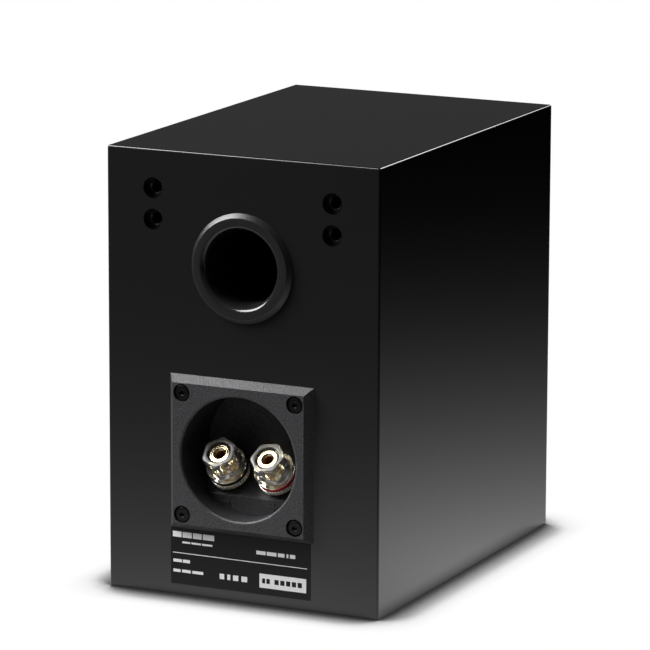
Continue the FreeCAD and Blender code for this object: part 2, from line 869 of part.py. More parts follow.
def make_binding_post(side, x, knob_turn):
    """One binding post. Heights run outwards along the post from the face of the ramp."""
    y, z = post_foot()
    where = (x, y, z, OUT_RAMP)
    collar = named("collar_height")
    tail = named("tail_radius")
    loose = tail + named("slide_gap")
    turned(side + "_collar", [
        (loose, -named("spigot_length")),
        (named("spigot_radius"), -named("spigot_length")),
        (named("spigot_radius"), 0),
        (named("collar_radius"), 0),
        (named("collar_radius"), collar),
        (loose, collar),
    ], *where)

    seat = collar + named("seat_thickness")
    top = named("stem_top")
    bore = named("banana_bore")
    flare = named("banana_flare")
    stem = turned(side + "_stem", [
        (0, -named("tail_length")),
        (tail, -named("tail_length")),
        (tail, collar),
        (named("seat_radius"), collar),
        (named("seat_radius"), seat),
        (named("stem_radius"), seat),
        (named("stem_radius"), top),
        (bore + flare, top),
        (bore, top - flare),
        (bore, top - named("banana_depth")),
        (0, top - named("banana_depth")),
    ], *where)
    flats = sketch(stem, "XY_Plane", top)
    wide = named("stem_radius") + 1
    for edge in (named("stem_flat"), -wide):
        rectangle(flats, edge, -wide, edge + wide - named("stem_flat"), wide)
    pocket(stem, flats, top - seat)
    hole = sketch(stem, "YZ_Plane")
    disc(hole, 0, seat + named("wire_hole_lift") + named("wire_hole"), named("wire_hole"))
    pocket(stem, hole, 2 * wide, both=True)

    ring_bottom = seat + named("slide_gap")
    ring_top = ring_bottom + named("ring_thickness")
    ring = body(side + "_ring", *where)
    band = sketch(ring, "XY_Plane", ring_bottom)
    disc(band, 0, 0, named("ring_radius"))
    flat = named("stem_flat") + named("slide_gap")
    round_part = named("stem_radius") + named("slide_gap")
    rise = math.sqrt(round_part.number ** 2 - flat.number ** 2)
    edge = Size(rise, "sqrt(%s ^ 2 - %s ^ 2)" % (round_part.formula, flat.formula))
    outline(band, [
        (flat, -edge),
        (flat, edge, "y", 0, 1),
        (-flat, edge),
        (-flat, -edge, "y", 0, 1),
    ])
    pad(ring, band, named("ring_thickness"))

    core_bottom = ring_top + named("slide_gap")
    step = core_bottom + named("core_body_length")
    bore = named("stem_radius") + named("slide_gap")
    turned(side + "_core", [
        (bore, core_bottom),
        (named("core_radius"), core_bottom),
        (named("core_radius"), step),
        (named("core_neck"), step),
        (named("core_neck"), top),
        (bore, top),
    ], *where)

    knob = body(side + "_knob", *where)
    skirt = sketch(knob, "XY_Plane", core_bottom)
    disc(skirt, 0, 0, named("skirt_radius"))
    pad(knob, skirt, named("skirt_height"))
    skirt_top = core_bottom + named("skirt_height")
    skirt_edge = on_circle(named("skirt_radius").number, z=skirt_top.number)
    dress(knob, "Chamfer", skirt_edge, named("skirt_chamfer"))
    grip = sketch(knob, "XY_Plane", core_bottom)
    polygon(grip, 0, 0, named("knob_radius"), 6, knob_turn)
    pad(knob, grip, named("knob_top") - core_bottom)
    well = sketch(knob, "XY_Plane", named("knob_top"))
    disc(well, 0, 0, named("knob_well"))
    pocket(knob, well, named("knob_top") - core_bottom)
    seat_well = sketch(knob, "XY_Plane", step)
    disc(seat_well, 0, 0, named("core_radius") + named("press_gap"))
    pocket(knob, seat_well, named("core_body_length"))


def make_post_fixings():
    """The washers, nuts and solder tags behind the ramp, alike on both posts."""
    y, z = post_foot()
    where = (0, y, z, OUT_RAMP)
    places = (-named("post_offset"), named("post_offset"))
    ramp_back = -named("ramp_wall")
    washers = body("post_washers", *where)
    discs = sketch(washers, "XY_Plane", ramp_back)
    for x in places:
        disc(discs, x, 0, named("washer_radius"))
        disc(discs, x, 0, named("tail_radius") + named("slide_gap"))
    pad(washers, discs, named("washer_thickness"), back=True)

    first_nut = ramp_back - named("washer_thickness")
    tag_level = first_nut - named("nut_thickness")
    second_nut = tag_level - named("tag_thickness")
    nuts = body("post_nuts", *where)
    for level in (first_nut, second_nut):
        faces = sketch(nuts, "XY_Plane", level)
        for index, x in enumerate(places):
            turn = SIZES["post_nut_turn"] + SIZES["post_nut_step"] * index
            polygon(faces, x, 0, named("nut_radius"), 6, turn)
            disc(faces, x, 0, named("tail_radius") + named("thread_gap"))
        pad(nuts, faces, named("nut_thickness"), back=True)

    tags = body("solder_tags", *where)
    blades = sketch(tags, "XY_Plane", tag_level)
    eyes = sketch(tags, "XY_Plane", tag_level)
    half = named("tag_half_width")
    for x in places:
        disc(blades, x, 0, named("tag_radius"))
        disc(eyes, x, 0, named("tail_radius") + named("thread_gap"))
    pad(tags, blades, named("tag_thickness"), back=True)
    arms = sketch(tags, "XY_Plane", tag_level)
    for x in places:
        rectangle(arms, x - half, -named("tag_length"), x + half, 0)
    pad(tags, arms, named("tag_thickness"), back=True)
    pocket(tags, eyes, named("tag_thickness"))


# ---------------------------------------------------------------- woofer

def cone_level(radius):
    """Height of the woofer cone's front face at a radius."""
    fall = (named("cone_edge") - radius) * tangent(named("cone_slope"))
    return -named("lip_depth") - fall


def make_woofer():
    where = (0, front_face, named("woofer_height"), OUT_FRONT)
    flange = named("woofer_flange")
    lip = named("lip_depth")
    skin = named("skin")
    recess = named("trim_outer") + named("trim_gap")
    edge_cut = named("flange_chamfer")
    neck = named("basket_neck")
    thick = named("basket_wall")
    depth = named("basket_depth")
    ledge = named("spider_ledge_depth")
    ledge_edge = neck - named("basket_ledge_width")
    floor = named("basket_floor")
    floor_edge = named("magnet_bore") + named("basket_ledge_width")
    roll_outer = named("surround_outer")
    former_outer = named("former_radius") + named("former_wall")

    basket = turned("woofer_basket", [
        (named("woofer_radius"), -flange),
        (named("woofer_radius"), -edge_cut),
        (named("woofer_radius") - edge_cut, 0),
        (recess, 0),
        (recess, -lip),
        (roll_outer, -lip),
        (roll_outer, -flange),
        (neck, named("basket_ledge_thickness") - ledge),
        (neck, -ledge),
        (ledge_edge, -ledge),
        (ledge_edge, floor - depth),
        (floor_edge, floor - depth),
        (floor_edge, -depth),
        (neck + thick, -depth),
        (neck + thick, -ledge),
        (roll_outer + thick, -flange),
    ], *where)
    window = sketch(basket, "YZ_Plane")
    half = named("basket_window_half")
    margin = named("basket_window_margin")
    rectangle(window, -half, margin - ledge, half, -flange - margin)
    opening = pocket(basket, window, named("woofer_hole"), back=True)
    repeat_round(basket, [opening], named("woofer_screw_count"))
    boss = sketch(basket, "XY_Plane", -depth)
    strip = named("tag_strip_half_width")
    strip_face = -neck - thick - named("tag_strip_boss")
    rectangle(boss, -strip, strip_face, strip, -neck)
    pad(basket, boss, depth - ledge)
    heads = sketch(basket, "XY_Plane")
    shanks = sketch(basket, "XY_Plane")
    for x, y in driver_screws("woofer"):
        disc(heads, x, y, named("woofer_screw_head") + named("fit_gap"))
        disc(shanks, x, y, named("woofer_screw_radius") + named("fit_gap"))
    pocket(basket, heads, named("woofer_screw_head_height") + named("screw_sink"))
    pocket(basket, shanks, flange)

    tags = body("woofer_tags", *where)
    blocks = sketch(tags, "XY_Plane", -depth)
    rectangle(blocks, -strip, strip_face - named("tag_strip_thickness"), strip, strip_face)
    pad(tags, blocks, depth - ledge)
    blades = sketch(tags, "XY_Plane", -depth)
    blade_face = strip_face - named("woofer_tag_inset")
    for x in (-named("wide_tag"), named("narrow_tag")):
        blade_back = blade_face - named("woofer_tag_thickness")
        rectangle(blades, x, blade_back, x + named("woofer_tag_width"), blade_face)
    pad(tags, blades, named("woofer_tag_length"), back=True)

    make_driver_gasket("woofer", -flange, where)
    make_driver_screws("woofer", where)
    trim_cut = named("trim_chamfer")
    turned("woofer_trim", [
        (named("trim_inner"), skin - lip),
        (named("trim_outer"), skin - lip),
        (named("trim_outer"), 0),
        (named("trim_outer") - trim_cut, named("trim_proud")),
        (named("trim_inner") + trim_cut, named("trim_proud")),
        (named("trim_inner"), 0),
    ], *where)

    plate = named("motor_plate")
    plate_radius = named("motor_plate_radius")
    pole = named("former_radius") - named("magnet_gap")
    gap_outer = former_outer + named("winding_wall") + named("magnet_gap")
    magnet_front = -depth - plate
    magnet_back = magnet_front - named("magnet_thickness")
    turned("woofer_top_plate", ring_corners(gap_outer, plate_radius, magnet_front, -depth), *where)
    magnet = ring_corners(named("magnet_bore"), named("magnet_radius"), magnet_back, magnet_front)
    turned("woofer_magnet", magnet, *where)
    turned("woofer_yoke", [
        (0, magnet_back - plate),
        (plate_radius, magnet_back - plate),
        (plate_radius, magnet_back),
        (pole, magnet_back),
        (pole, named("pole_setback") - depth),
        (0, named("pole_setback") - depth),
    ], *where)

    turned("woofer_coil_former", ring_corners(
        named("former_radius"), former_outer, -named("former_bottom"), -named("former_top")), *where)
    turned("woofer_winding", ring_corners(
        former_outer, former_outer + named("winding_wall"),
        -named("winding_bottom"), -named("winding_top")), *where)
    cone_back = named("cone_thickness")
    edge = named("cone_edge")
    turned("woofer_cone", [
        (former_outer, cone_level(former_outer) - cone_back),
        (edge, -lip - cone_back),
        (edge, -lip),
        (former_outer, cone_level(former_outer)),
    ], *where)

    cap = named("dust_cap_radius")
    rim = cone_level(cap)
    rise = named("dust_cap_rise")
    turned("woofer_dust_cap", [
        (0, rim + rise - named("dust_cap_thickness")),
        (0, rim + rise, "x", 0, -1),
        (cap, rim),
        (cap - named("dust_cap_hem"), rim + named("dust_cap_lift"), "x", 0, 1),
    ], *where)

    roll_inner = named("surround_inner")
    low = -lip
    high = skin - lip
    turned("woofer_surround", [
        (roll_inner - named("glue_lap"), low),
        (roll_inner + skin, low, "y", low, -1),
        (roll_outer - skin, low),
        (named("trim_outer"), low),
        (named("trim_outer"), high),
        (roll_outer, high, "y", high, 1),
        (roll_inner, high),
        (roll_inner - named("glue_lap"), high),
    ], *where)

    start = former_outer + named("glue_gap")
    stop = neck - named("spider_gap")
    hem = stop - named("spider_hem")
    waves = SIZES["spider_waves"] * 2
    pitch = (hem - start - named("spider_collar")) / waves
    centre = skin / 2 - ledge
    crest = named("spider_wave_height")
    top = [(stop, skin - ledge), (hem, skin - ledge)]
    bottom = [(stop, -ledge), (hem, -ledge)]
    for index in range(1, waves):
        swing = crest if index % 2 else -crest
        radius = hem - pitch * index
        top.append((radius, centre + swing + skin / 2))
        bottom.append((radius, centre + swing - skin / 2))
    top.append((start, skin - ledge))
    bottom.append((start, -ledge))
    turned("woofer_spider", bottom + top[::-1], *where)


def make_driver_gasket(name, top, where):
    """The foam ring between a driver and its recess, holed for the screws."""
    part = body(name + "_gasket", *where)
    band = sketch(part, "XY_Plane", top)
    disc(band, 0, 0, named(name + "_radius") - named("gasket_inset"))
    disc(band, 0, 0, named(name + "_hole") + named("gasket_clearance"))
    for x, y in driver_screws(name):
        disc(band, x, y, named(name + "_screw_radius") + named("gasket_screw_gap"))
    pad(part, band, gasket, back=True)


def make_driver_screws(name, where):
    """The ring of screws that holds a driver to the baffle, heads sunk in its flange."""
    part = body(name + "_screws", *where)
    top = -named("screw_sink")
    head = named(name + "_screw_head_height")
    heads = sketch(part, "XY_Plane", top)
    shanks = sketch(part, "XY_Plane", top)
    sockets = sketch(part, "XY_Plane", top)
    for x, y in driver_screws(name):
        disc(heads, x, y, named(name + "_screw_head"))
        disc(shanks, x, y, named(name + "_screw_radius"))
        polygon(sockets, x, y, named("socket_radius") * named("screw_socket_scale"), 6, 10)
    pad(part, heads, head, back=True)
    pad(part, shanks, named(name + "_screw_length"), back=True)
    pocket(part, sockets, head - named("screw_socket_floor"))


# ---------------------------------------------------------------- tweeter

def make_tweeter():
    where = (0, front_face, named("tweeter_height"), OUT_FRONT)
    plate = named("tweeter_plate")
    skin = named("skin")
    lip = named("tweeter_lip")
    throat = named("tweeter_horn_throat")
    top_radius = named("tweeter_top_plate_radius")
    edge_cut = named("flange_chamfer")
    step_edge = lip + named("tweeter_lip_gap")
    face = turned("tweeter_faceplate", [
        (throat, -plate),
        (step_edge, -plate),
        (step_edge, -plate - skin),
        (top_radius, -plate - skin),
        (top_radius, -plate),
        (named("tweeter_radius"), -plate),
        (named("tweeter_radius"), -edge_cut),
        (named("tweeter_radius") - edge_cut, 0),
        (named("tweeter_horn_mouth"), 0),
        (throat, named("tweeter_horn_step") - plate),
    ], *where)
    heads = sketch(face, "XY_Plane")
    shanks = sketch(face, "XY_Plane")
    for x, y in driver_screws("tweeter"):
        disc(heads, x, y, named("tweeter_screw_head") + named("fit_gap"))
        disc(shanks, x, y, named("tweeter_screw_radius") + named("fit_gap"))
    pocket(face, heads, named("tweeter_screw_head_height") + named("screw_sink"))
    pocket(face, shanks, plate)
    make_driver_gasket("tweeter", -plate, where)
    make_driver_screws("tweeter", where)

    gap = named("magnet_gap")
    dome = named("dome_radius")
    front = -plate - skin
    back = front - named("tweeter_top_plate")
    coil_outer = named("tweeter_coil_outer")
    pole = named("tweeter_coil_inner") - gap
    turned("tweeter_top_plate", ring_corners(coil_outer + gap, top_radius, back, front), *where)
    magnet_back = back - named("tweeter_magnet_thickness")
    turned("tweeter_magnet", ring_corners(
        named("tweeter_magnet_bore"), named("tweeter_magnet_radius"), magnet_back, back), *where)
    turned("tweeter_yoke", [
        (0, magnet_back - named("tweeter_top_plate")),
        (top_radius, magnet_back - named("tweeter_top_plate")),
        (top_radius, magnet_back),
        (pole, magnet_back),
        (pole, front),
        (0, front),
    ], *where)
    turned("tweeter_coil", ring_corners(
        named("tweeter_coil_inner"), coil_outer,
        -plate - named("tweeter_coil_length"), -plate), *where)
    thin = named("dome_thickness")
    turned("tweeter_dome", [
        (0, named("dome_rise") - plate - thin),
        (0, named("dome_rise") - plate, "x", 0, -1),
        (dome, -plate),
        (dome - thin, -plate, "x", 0, 1),
    ], *where)
    roll = named("tweeter_roll")
    start = dome + named("glue_gap")
    turned("tweeter_surround", [
        (start, front),
        (dome + skin, front, "y", front, -1),
        (roll - skin, front),
        (lip, front),
        (lip, -plate),
        (roll, -plate, "y", -plate, 1),
        (start, -plate),
    ], *where)


# ---------------------------------------------------------------- crossover

def board_screw_places():
    inset = named("board_screw_inset")
    across = named("board_half_width") - inset
    return [(x, y) for x in (-across, across)
            for y in (named("board_front") + inset, named("board_back") - inset)]


def make_crossover():
    floor = wall
    under = floor + named("standoff_height")
    top = under + named("board_thickness")
    half = named("board_half_width")
    bolt = named("board_screw_radius") + named("thread_gap")

    posts = body("crossover_standoffs", 0, 0, floor)
    tubes = sketch(posts)
    board = body("crossover_board", 0, 0, under)
    panel = sketch(board)
    rectangle(panel, -half, named("board_front"), half, named("board_back"))
    screws = body("crossover_screws", 0, 0, top)
    heads = sketch(screws)
    shanks = sketch(screws)
    for x, y in board_screw_places():
        disc(tubes, x, y, named("standoff_radius"))
        disc(tubes, x, y, bolt)
        disc(panel, x, y, bolt)
        disc(heads, x, y, named("board_screw_head"))
        disc(shanks, x, y, named("board_screw_radius"))
    pad(posts, tubes, named("standoff_height"))
    pad(board, panel, named("board_thickness"))
    pad(screws, heads, named("board_screw_head_height"))
    bite = named("board_screw_bite") - named("board_screw_gap")
    reach = named("board_thickness") + named("standoff_height") + bite
    pad(screws, shanks, reach, back=True)

    rim = named("choke_rim")
    waist_edge = rim + named("choke_rim_taper")
    waist = named("choke_radius") - named("choke_waist")
    turned("crossover_choke", [
        (named("choke_bore"), 0),
        (named("choke_radius"), 0),
        (named("choke_radius"), rim),
        (waist, waist_edge),
        (waist, named("choke_height") - waist_edge),
        (named("choke_radius"), named("choke_height") - rim),
        (named("choke_radius"), named("choke_height")),
        (named("choke_bore"), named("choke_height")),
    ], named("choke_x"), named("choke_y"), top)
    can = named("capacitor_radius")
    for index, name in enumerate(("tweeter_capacitor", "woofer_capacitor")):
        row = named("capacitor_y") + named("capacitor_pitch") * index
        cell = body(name, named("capacitor_x"), row, top + can)
        end = sketch(cell, "YZ_Plane")
        disc(end, 0, 0, can)
        pad(cell, end, named("capacitor_length"))
    block_y = named("board_back") - named("resistor_inset")
    block = body("crossover_resistor", named("resistor_x"), block_y, top)
    side = named("resistor_side")
    foot = sketch(block)
    rectangle(foot, -named("resistor_length") / 2, 0, named("resistor_length") / 2, side)
    pad(block, foot, side)


# ---------------------------------------------------------------- damping

def make_damping():
    thickness = named("pad_thickness")
    gap = named("pad_gap")
    top = body("damping_pad_top", 0, 0, height - wall - gap - thickness)
    sheet_top = sketch(top)
    half = named("top_pad_half_width")
    rectangle(sheet_top, -half, named("top_pad_front"), half, named("top_pad_back"))
    pad(top, sheet_top, thickness)
    inside = half_width - wall - gap
    for name, left in (("damping_pad_left", inside - thickness), ("damping_pad_right", -inside)):
        side = body(name, left, 0, 0)
        area = sketch(side, "YZ_Plane")
        front = named("side_pad_front")
        back = named("side_pad_back")
        rectangle(area, front, named("side_pad_bottom"), back, named("side_pad_top"))
        pad(side, area, thickness)


# ---------------------------------------------------------------- internal leads

def rounded_route(points):
    """Straight runs joined by tangent arcs, each arc as large as its two runs allow."""
    edges = []
    start = points[0]
    radii = []
    for before, corner, after in zip(points, points[1:], points[2:]):
        into = (corner - before).normalize()
        out = (after - corner).normalize()
        turn = into.getAngle(out)
        shorter = min((corner - before).Length, (after - corner).Length)
        setback = 0.45 * shorter
        radii.append(setback / math.tan(turn / 2))
        first = corner - into * setback
        last = corner + out * setback
        bisector = (out - into).normalize()
        centre = corner + bisector * (radii[-1] / math.cos(turn / 2))
        middle = centre - bisector * radii[-1]
        edges.append(Part.LineSegment(start, first).toShape())
        edges.append(Part.Arc(first, middle, last).toShape())
        start = last
    edges.append(Part.LineSegment(start, points[-1]).toShape())
    return Part.Wire(edges), radii


def lead(points):
    """One insulated wire along its route."""
    radius = named("lead_radius").number
    route, radii = rounded_route(points)
    circle = Part.Circle(points[0], points[1] - points[0], radius)
    tube = route.makePipeShell([Part.Wire(circle.toShape())], True, False)
    expected = math.pi * radius ** 2 * route.Length
    print("lead %.1f mm, radii %s" % (route.Length, ["%.1f" % r for r in radii]))
    if abs(tube.Volume - expected) > 0.01 * expected:
        raise RuntimeError("a lead's solid does not match its length")
    return tube


def make_leads():
    offset = SIZES["post_offset"]
    y, z = post_foot()
    # The end of a solder tag's arm, behind the ramp, and the tube's own reach from what it joins.
    drop = SIZES["ramp_wall"] + SIZES["washer_thickness"] + SIZES["nut_thickness"] + SIZES["tag_thickness"]
    arm = SIZES["tag_length"] - 2.0
    reach = SIZES["lead_radius"] + 0.05
    tag_y = y.number - (drop + arm + reach) * HALF_ROOT
    tag_z = z.number - (drop - arm + reach) * HALF_ROOT
    board_top = SIZES["wall"] + SIZES["standoff_height"] + SIZES["board_thickness"] + reach
    front = -SIZES["cabinet_depth"] / 2
    blade_end = front + SIZES["basket_depth"] + SIZES["woofer_tag_length"]
    blade_face = SIZES["basket_neck"] + SIZES["basket_wall"] + SIZES["tag_strip_boss"]
    blade_face += SIZES["woofer_tag_inset"] + SIZES["woofer_tag_thickness"]
    blade_under = SIZES["woofer_height"] - blade_face - reach
    tweeter_back = SIZES["tweeter_plate"] + SIZES["skin"] + 2 * SIZES["tweeter_top_plate"]
    tweeter_y = front + tweeter_back + SIZES["tweeter_magnet_thickness"] + reach
    for colour, side in (("red", -1), ("black", 1)):
        to_board = [
            Vec(side * offset, tag_y + 6 * HALF_ROOT, tag_z - 6 * HALF_ROOT),
            Vec(side * offset, tag_y - 12 * HALF_ROOT, tag_z + 12 * HALF_ROOT),
            Vec(side * 17, 42, 60),
            Vec(side * 28, 40, 40),
            Vec(side * 38, 28, 25),
            Vec(side * 38.5, 13, board_top),
        ]
        to_woofer = [
            Vec(side * 36, -2, board_top),
            Vec(side * 31, -14, board_top + 1),
            Vec(side * 20, -26, 24),
            Vec(side * 9, -38, 23.5),
            Vec(side * 4, -49, 24),
            Vec(side * 4, blade_end - 2.5, blade_under),
        ]
        to_tweeter = [
            Vec(side * 39, 10, board_top),
            Vec(side * 39.5, -6, board_top + 6),
            Vec(side * 36, -22, board_top + 22),
            Vec(side * 38, -34, board_top + 48),
            Vec(side * 34, -46, board_top + 80),
            Vec(side * 30, -56, board_top + 106),
            Vec(side * 20, tweeter_y + 6, SIZES["tweeter_height"] - 16),
            Vec(side * 9, tweeter_y, SIZES["tweeter_height"] - 8),
        ]
        solids = [lead(route) for route in (to_board, to_woofer, to_tweeter)]
        shaped(colour + "_leads", Part.Compound(solids))


# ---------------------------------------------------------------- build

make_wrap()
make_baffle()
make_rear_panel()
make_bracket_inserts()
make_port()
make_terminal_cup()
make_cup_fasteners()
make_label()
make_binding_post("negative", named("post_offset"), 35)
make_binding_post("positive", -named("post_offset"), 10)
make_post_fixings()
make_woofer()
make_tweeter()
make_crossover()
make_damping()
make_leads()
doc.recompute()

for thing in doc.Objects:
    if "Invalid" in thing.State or "Error" in thing.State:
        raise RuntimeError("%s did not recompute" % thing.Label)
for part in subparts:
    if part.Shape.isNull() or not part.Shape.isValid():
        raise RuntimeError("%s has no sound solid" % part.Label)

os.makedirs("parts", exist_ok=True)
for part in subparts:
    part.Shape.exportStep("parts/%s.step" % part.Label)
    print("%-22s %2d solids %10.1f mm3" % (part.Label, len(part.Shape.Solids), part.Shape.Volume))
print(len(subparts), "sub-parts")
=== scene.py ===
import json
import math

import bmesh
import bpy
from mathutils import Matrix, Vector


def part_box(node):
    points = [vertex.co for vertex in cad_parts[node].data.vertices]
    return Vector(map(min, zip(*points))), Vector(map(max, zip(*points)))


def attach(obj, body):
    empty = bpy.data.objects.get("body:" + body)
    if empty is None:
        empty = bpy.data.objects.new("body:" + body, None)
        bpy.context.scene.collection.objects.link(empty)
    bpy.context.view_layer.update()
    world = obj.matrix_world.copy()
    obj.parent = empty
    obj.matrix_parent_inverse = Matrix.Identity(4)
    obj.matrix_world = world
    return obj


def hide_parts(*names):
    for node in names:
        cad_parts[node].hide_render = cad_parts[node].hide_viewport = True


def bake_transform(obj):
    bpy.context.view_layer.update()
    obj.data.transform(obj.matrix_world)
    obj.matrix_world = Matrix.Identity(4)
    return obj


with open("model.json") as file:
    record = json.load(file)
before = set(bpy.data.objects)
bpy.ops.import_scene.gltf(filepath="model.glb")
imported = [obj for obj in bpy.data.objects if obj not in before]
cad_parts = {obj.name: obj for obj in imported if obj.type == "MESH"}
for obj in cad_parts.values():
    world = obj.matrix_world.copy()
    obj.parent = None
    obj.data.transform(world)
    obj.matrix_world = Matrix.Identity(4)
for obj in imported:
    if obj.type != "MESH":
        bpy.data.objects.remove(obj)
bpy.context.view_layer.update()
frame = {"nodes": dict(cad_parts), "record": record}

MM = 0.001
NODES = frame["nodes"]

# Places on the loudspeaker, in millimetres: depths run back from its middle, heights up from its foot.
FRONT_FACE = -100.0
REAR_FACE = 100.0
WOOFER_HEIGHT = 68.0
TWEETER_HEIGHT = 166.0
PORT_HEIGHT = 159.5
CUP_HEIGHT = 69.7
PORT_MOUTH = 20.7
FORWARD = (0, -1, 0)
BACKWARD = (0, 1, 0)


# ---------------------------------------------------------------- shader building blocks

class Shader:
    """Adds nodes to a material or a node group and links them in one call."""

    def __init__(self, tree):
        self.tree = tree

    def node(self, kind, settings=None, **inputs):
        made = self.tree.nodes.new(kind)
        for name, value in (settings or {}).items():
            setattr(made, name, value)
        for name, value in inputs.items():
            self.feed(made.inputs[name.replace("_", " ")], value)
        return made

    def feed(self, socket, value):
        if isinstance(value, bpy.types.NodeSocket):
            self.tree.links.new(value, socket)
        else:
            socket.default_value = value

    def math(self, operation, first, second=0.0):
        made = self.tree.nodes.new("ShaderNodeMath")
        made.operation = operation
        self.feed(made.inputs[0], first)
        self.feed(made.inputs[1], second)
        return made.outputs[0]

    def spread(self, value, low, high, out_low=0.0, out_high=1.0):
        """Stretches value from low..high to out_low..out_high, held at both ends."""
        made = self.tree.nodes.new("ShaderNodeMapRange")
        made.interpolation_type = "SMOOTHSTEP"
        numbers = (value, low, high, out_low, out_high)
        for socket, number in zip(made.inputs, numbers):
            self.feed(socket, number)
        return made.outputs[0]

    def noise(self, where, scale, detail=2.0, roughness=0.5):
        made = self.tree.nodes.new("ShaderNodeTexNoise")
        self.feed(made.inputs["Vector"], where)
        self.feed(made.inputs["Scale"], scale)
        made.inputs["Detail"].default_value = detail
        made.inputs["Roughness"].default_value = roughness
        return made.outputs["Fac"]

    def blend(self, share, first, second):
        made = self.tree.nodes.new("ShaderNodeMix")
        made.data_type = "RGBA"
        self.feed(made.inputs["Factor"], share)
        self.feed(made.inputs["A"], first)
        self.feed(made.inputs["B"], second)
        return made.outputs["Result"]

    def product(self, first, second):
        return self.math("MULTIPLY", first, second)

    def place(self):
        return self.tree.nodes.new("ShaderNodeTexCoord").outputs["Object"]


def shared_group(name, inputs, outputs):
    """An empty node group with named sockets. Returns it, its shader, its inputs and its outputs."""
    tree = bpy.data.node_groups.new(name, "ShaderNodeTree")
    for label, default in inputs.items():
        socket = tree.interface.new_socket(label, in_out="INPUT", socket_type="NodeSocketFloat")
        socket.default_value = default
    for label in outputs:
        tree.interface.new_socket(label, in_out="OUTPUT", socket_type="NodeSocketFloat")
    entry = tree.nodes.new("NodeGroupInput")
    leave = tree.nodes.new("NodeGroupOutput")
    return tree, Shader(tree), entry.outputs, leave.inputs


def make_moulded_grain():
    """Spark-eroded mould texture: rounded pits of one size with finer grit on top."""
    tree, shade, given, result = shared_group(
        "moulded_grain", {"Pits per metre": 1400.0, "Grit": 0.35}, ("Height", "Mottle"))
    where = shade.place()
    pits = shade.noise(where, given["Pits per metre"], 1.0)
    grit = shade.noise(where, shade.product(given["Pits per metre"], 2.7), 2.0)
    grit_share = shade.product(grit, given["Grit"])
    height = shade.math("ADD", shade.spread(pits, 0.3, 0.7), grit_share)
    shade.feed(result["Height"], height)
    specks = shade.noise(where, shade.product(given["Pits per metre"], 0.9), 1.0)
    shade.feed(result["Mottle"], shade.spread(specks, 0.35, 0.65))
    return tree


def make_handling():
    """Faint handling marks: broad smears and a little settled dust on faces that look up."""
    tree, shade, given, result = shared_group(
        "handling_marks", {"Smear size": 25.0, "Dust": 0.3}, ("Smears", "Dust"))
    where = shade.place()
    broad = shade.noise(where, given["Smear size"], 4.0, 0.6)
    shade.feed(result["Smears"], shade.spread(broad, 0.35, 0.75))
    upward = shade.node("ShaderNodeSeparateXYZ")
    shade.feed(upward.inputs[0], shade.tree.nodes.new("ShaderNodeNewGeometry").outputs["Normal"])
    specks = shade.spread(shade.noise(where, 2600.0, 1.0), 0.66, 0.72)
    settled = shade.product(specks, shade.spread(upward.outputs["Z"], 0.5, 0.95))
    shade.feed(result["Dust"], shade.product(settled, given["Dust"]))
    return tree


def make_turned_marks():
    """Fine tool marks running round a turned or rolled piece, along any of its axes."""
    tree, shade, given, result = shared_group(
        "turned_marks", {"Marks per metre": 4000.0, "Length": 0.02}, ("Height", "Streak"))
    where = shade.place()
    stretched = shade.node("ShaderNodeVectorMath", {"operation": "MULTIPLY"})
    shade.feed(stretched.inputs[0], where)
    scale = shade.node("ShaderNodeCombineXYZ", X=1.0, Y=1.0)
    shade.feed(scale.inputs["Z"], given["Length"])
    shade.feed(stretched.inputs[1], scale.outputs[0])
    lines = shade.noise(stretched.outputs[0], given["Marks per metre"], 2.0)
    shade.feed(result["Height"], lines)
    shade.feed(result["Streak"], shade.spread(lines, 0.3, 0.7))
    return tree


GRAIN = make_moulded_grain()
HANDLING = make_handling()
TURNED = make_turned_marks()


def surface(name, colour, roughness, **settings):
    """A material with one Principled BSDF. settings are the shader's own plain sockets."""
    made = bpy.data.materials.new(name)
    made.use_nodes = True
    shade = Shader(made.node_tree)
    shader = made.node_tree.nodes["Principled BSDF"]
    shader.inputs["Base Color"].default_value = (*colour, 1.0)
    shader.inputs["Roughness"].default_value = roughness
    for label, value in settings.items():
        shader.inputs[label.replace("_", " ")].default_value = value
    return made, shade, shader


def add_group(shade, tree, **inputs):
    placed = shade.node("ShaderNodeGroup", {"node_tree": tree})
    for label, value in inputs.items():
        placed.inputs[label.replace("_", " ")].default_value = value
    return placed.outputs


def add_bump(shade, shader, height, depth):
    bump = shade.node("ShaderNodeBump", Height=height, Distance=depth, Strength=1.0)
    shade.feed(shader.inputs["Normal"], bump.outputs["Normal"])


def vary_roughness(shade, shader, mask, low, high):
    """Runs the roughness from low, where the mask is 0, to high, where it is 1."""
    shade.feed(shader.inputs["Roughness"], shade.spread(mask, 0.0, 1.0, low, high))


def scaled(colour, share):
    return tuple(part * share for part in colour)


# ---------------------------------------------------------------- finishes

def black_lacquer(name, colour, painted_light_rear_colour=None):
    """Gloss black lacquer on fibreboard, with a trace of orange peel and a little dust.
    The colour given for the rear face is a lighter grey painted on that face alone: painted light, standing
    in for the lamp light on it, though the real lacquer is the same all round."""
    made, shade, shader = surface(name, colour, 0.08, IOR=1.5)
    marks = add_group(shade, HANDLING, Smear_size=18.0, Dust=0.25)
    vary_roughness(shade, shader, marks["Smears"], 0.07, 0.1)
    dust = (0.06, 0.06, 0.058, 1.0)
    paint = shade.blend(marks["Dust"], (*colour, 1.0), dust)
    # Painted light: the rear face alone takes the lighter grey, a painted stand-in for the light that falls
    # on it.
    if painted_light_rear_colour:
        spot = shade.node("ShaderNodeSeparateXYZ")
        shade.feed(spot.inputs[0], shade.place())
        rear = shade.spread(spot.outputs["Y"], (REAR_FACE - 0.7) * MM, (REAR_FACE - 0.2) * MM)
        paint = shade.blend(rear, paint, shade.blend(marks["Dust"], (*painted_light_rear_colour, 1.0), dust))
    shade.feed(shader.inputs["Base Color"], paint)
    peel = shade.noise(shade.place(), 420.0, 2.0)
    add_bump(shade, shader, peel, 0.000012)
    return made


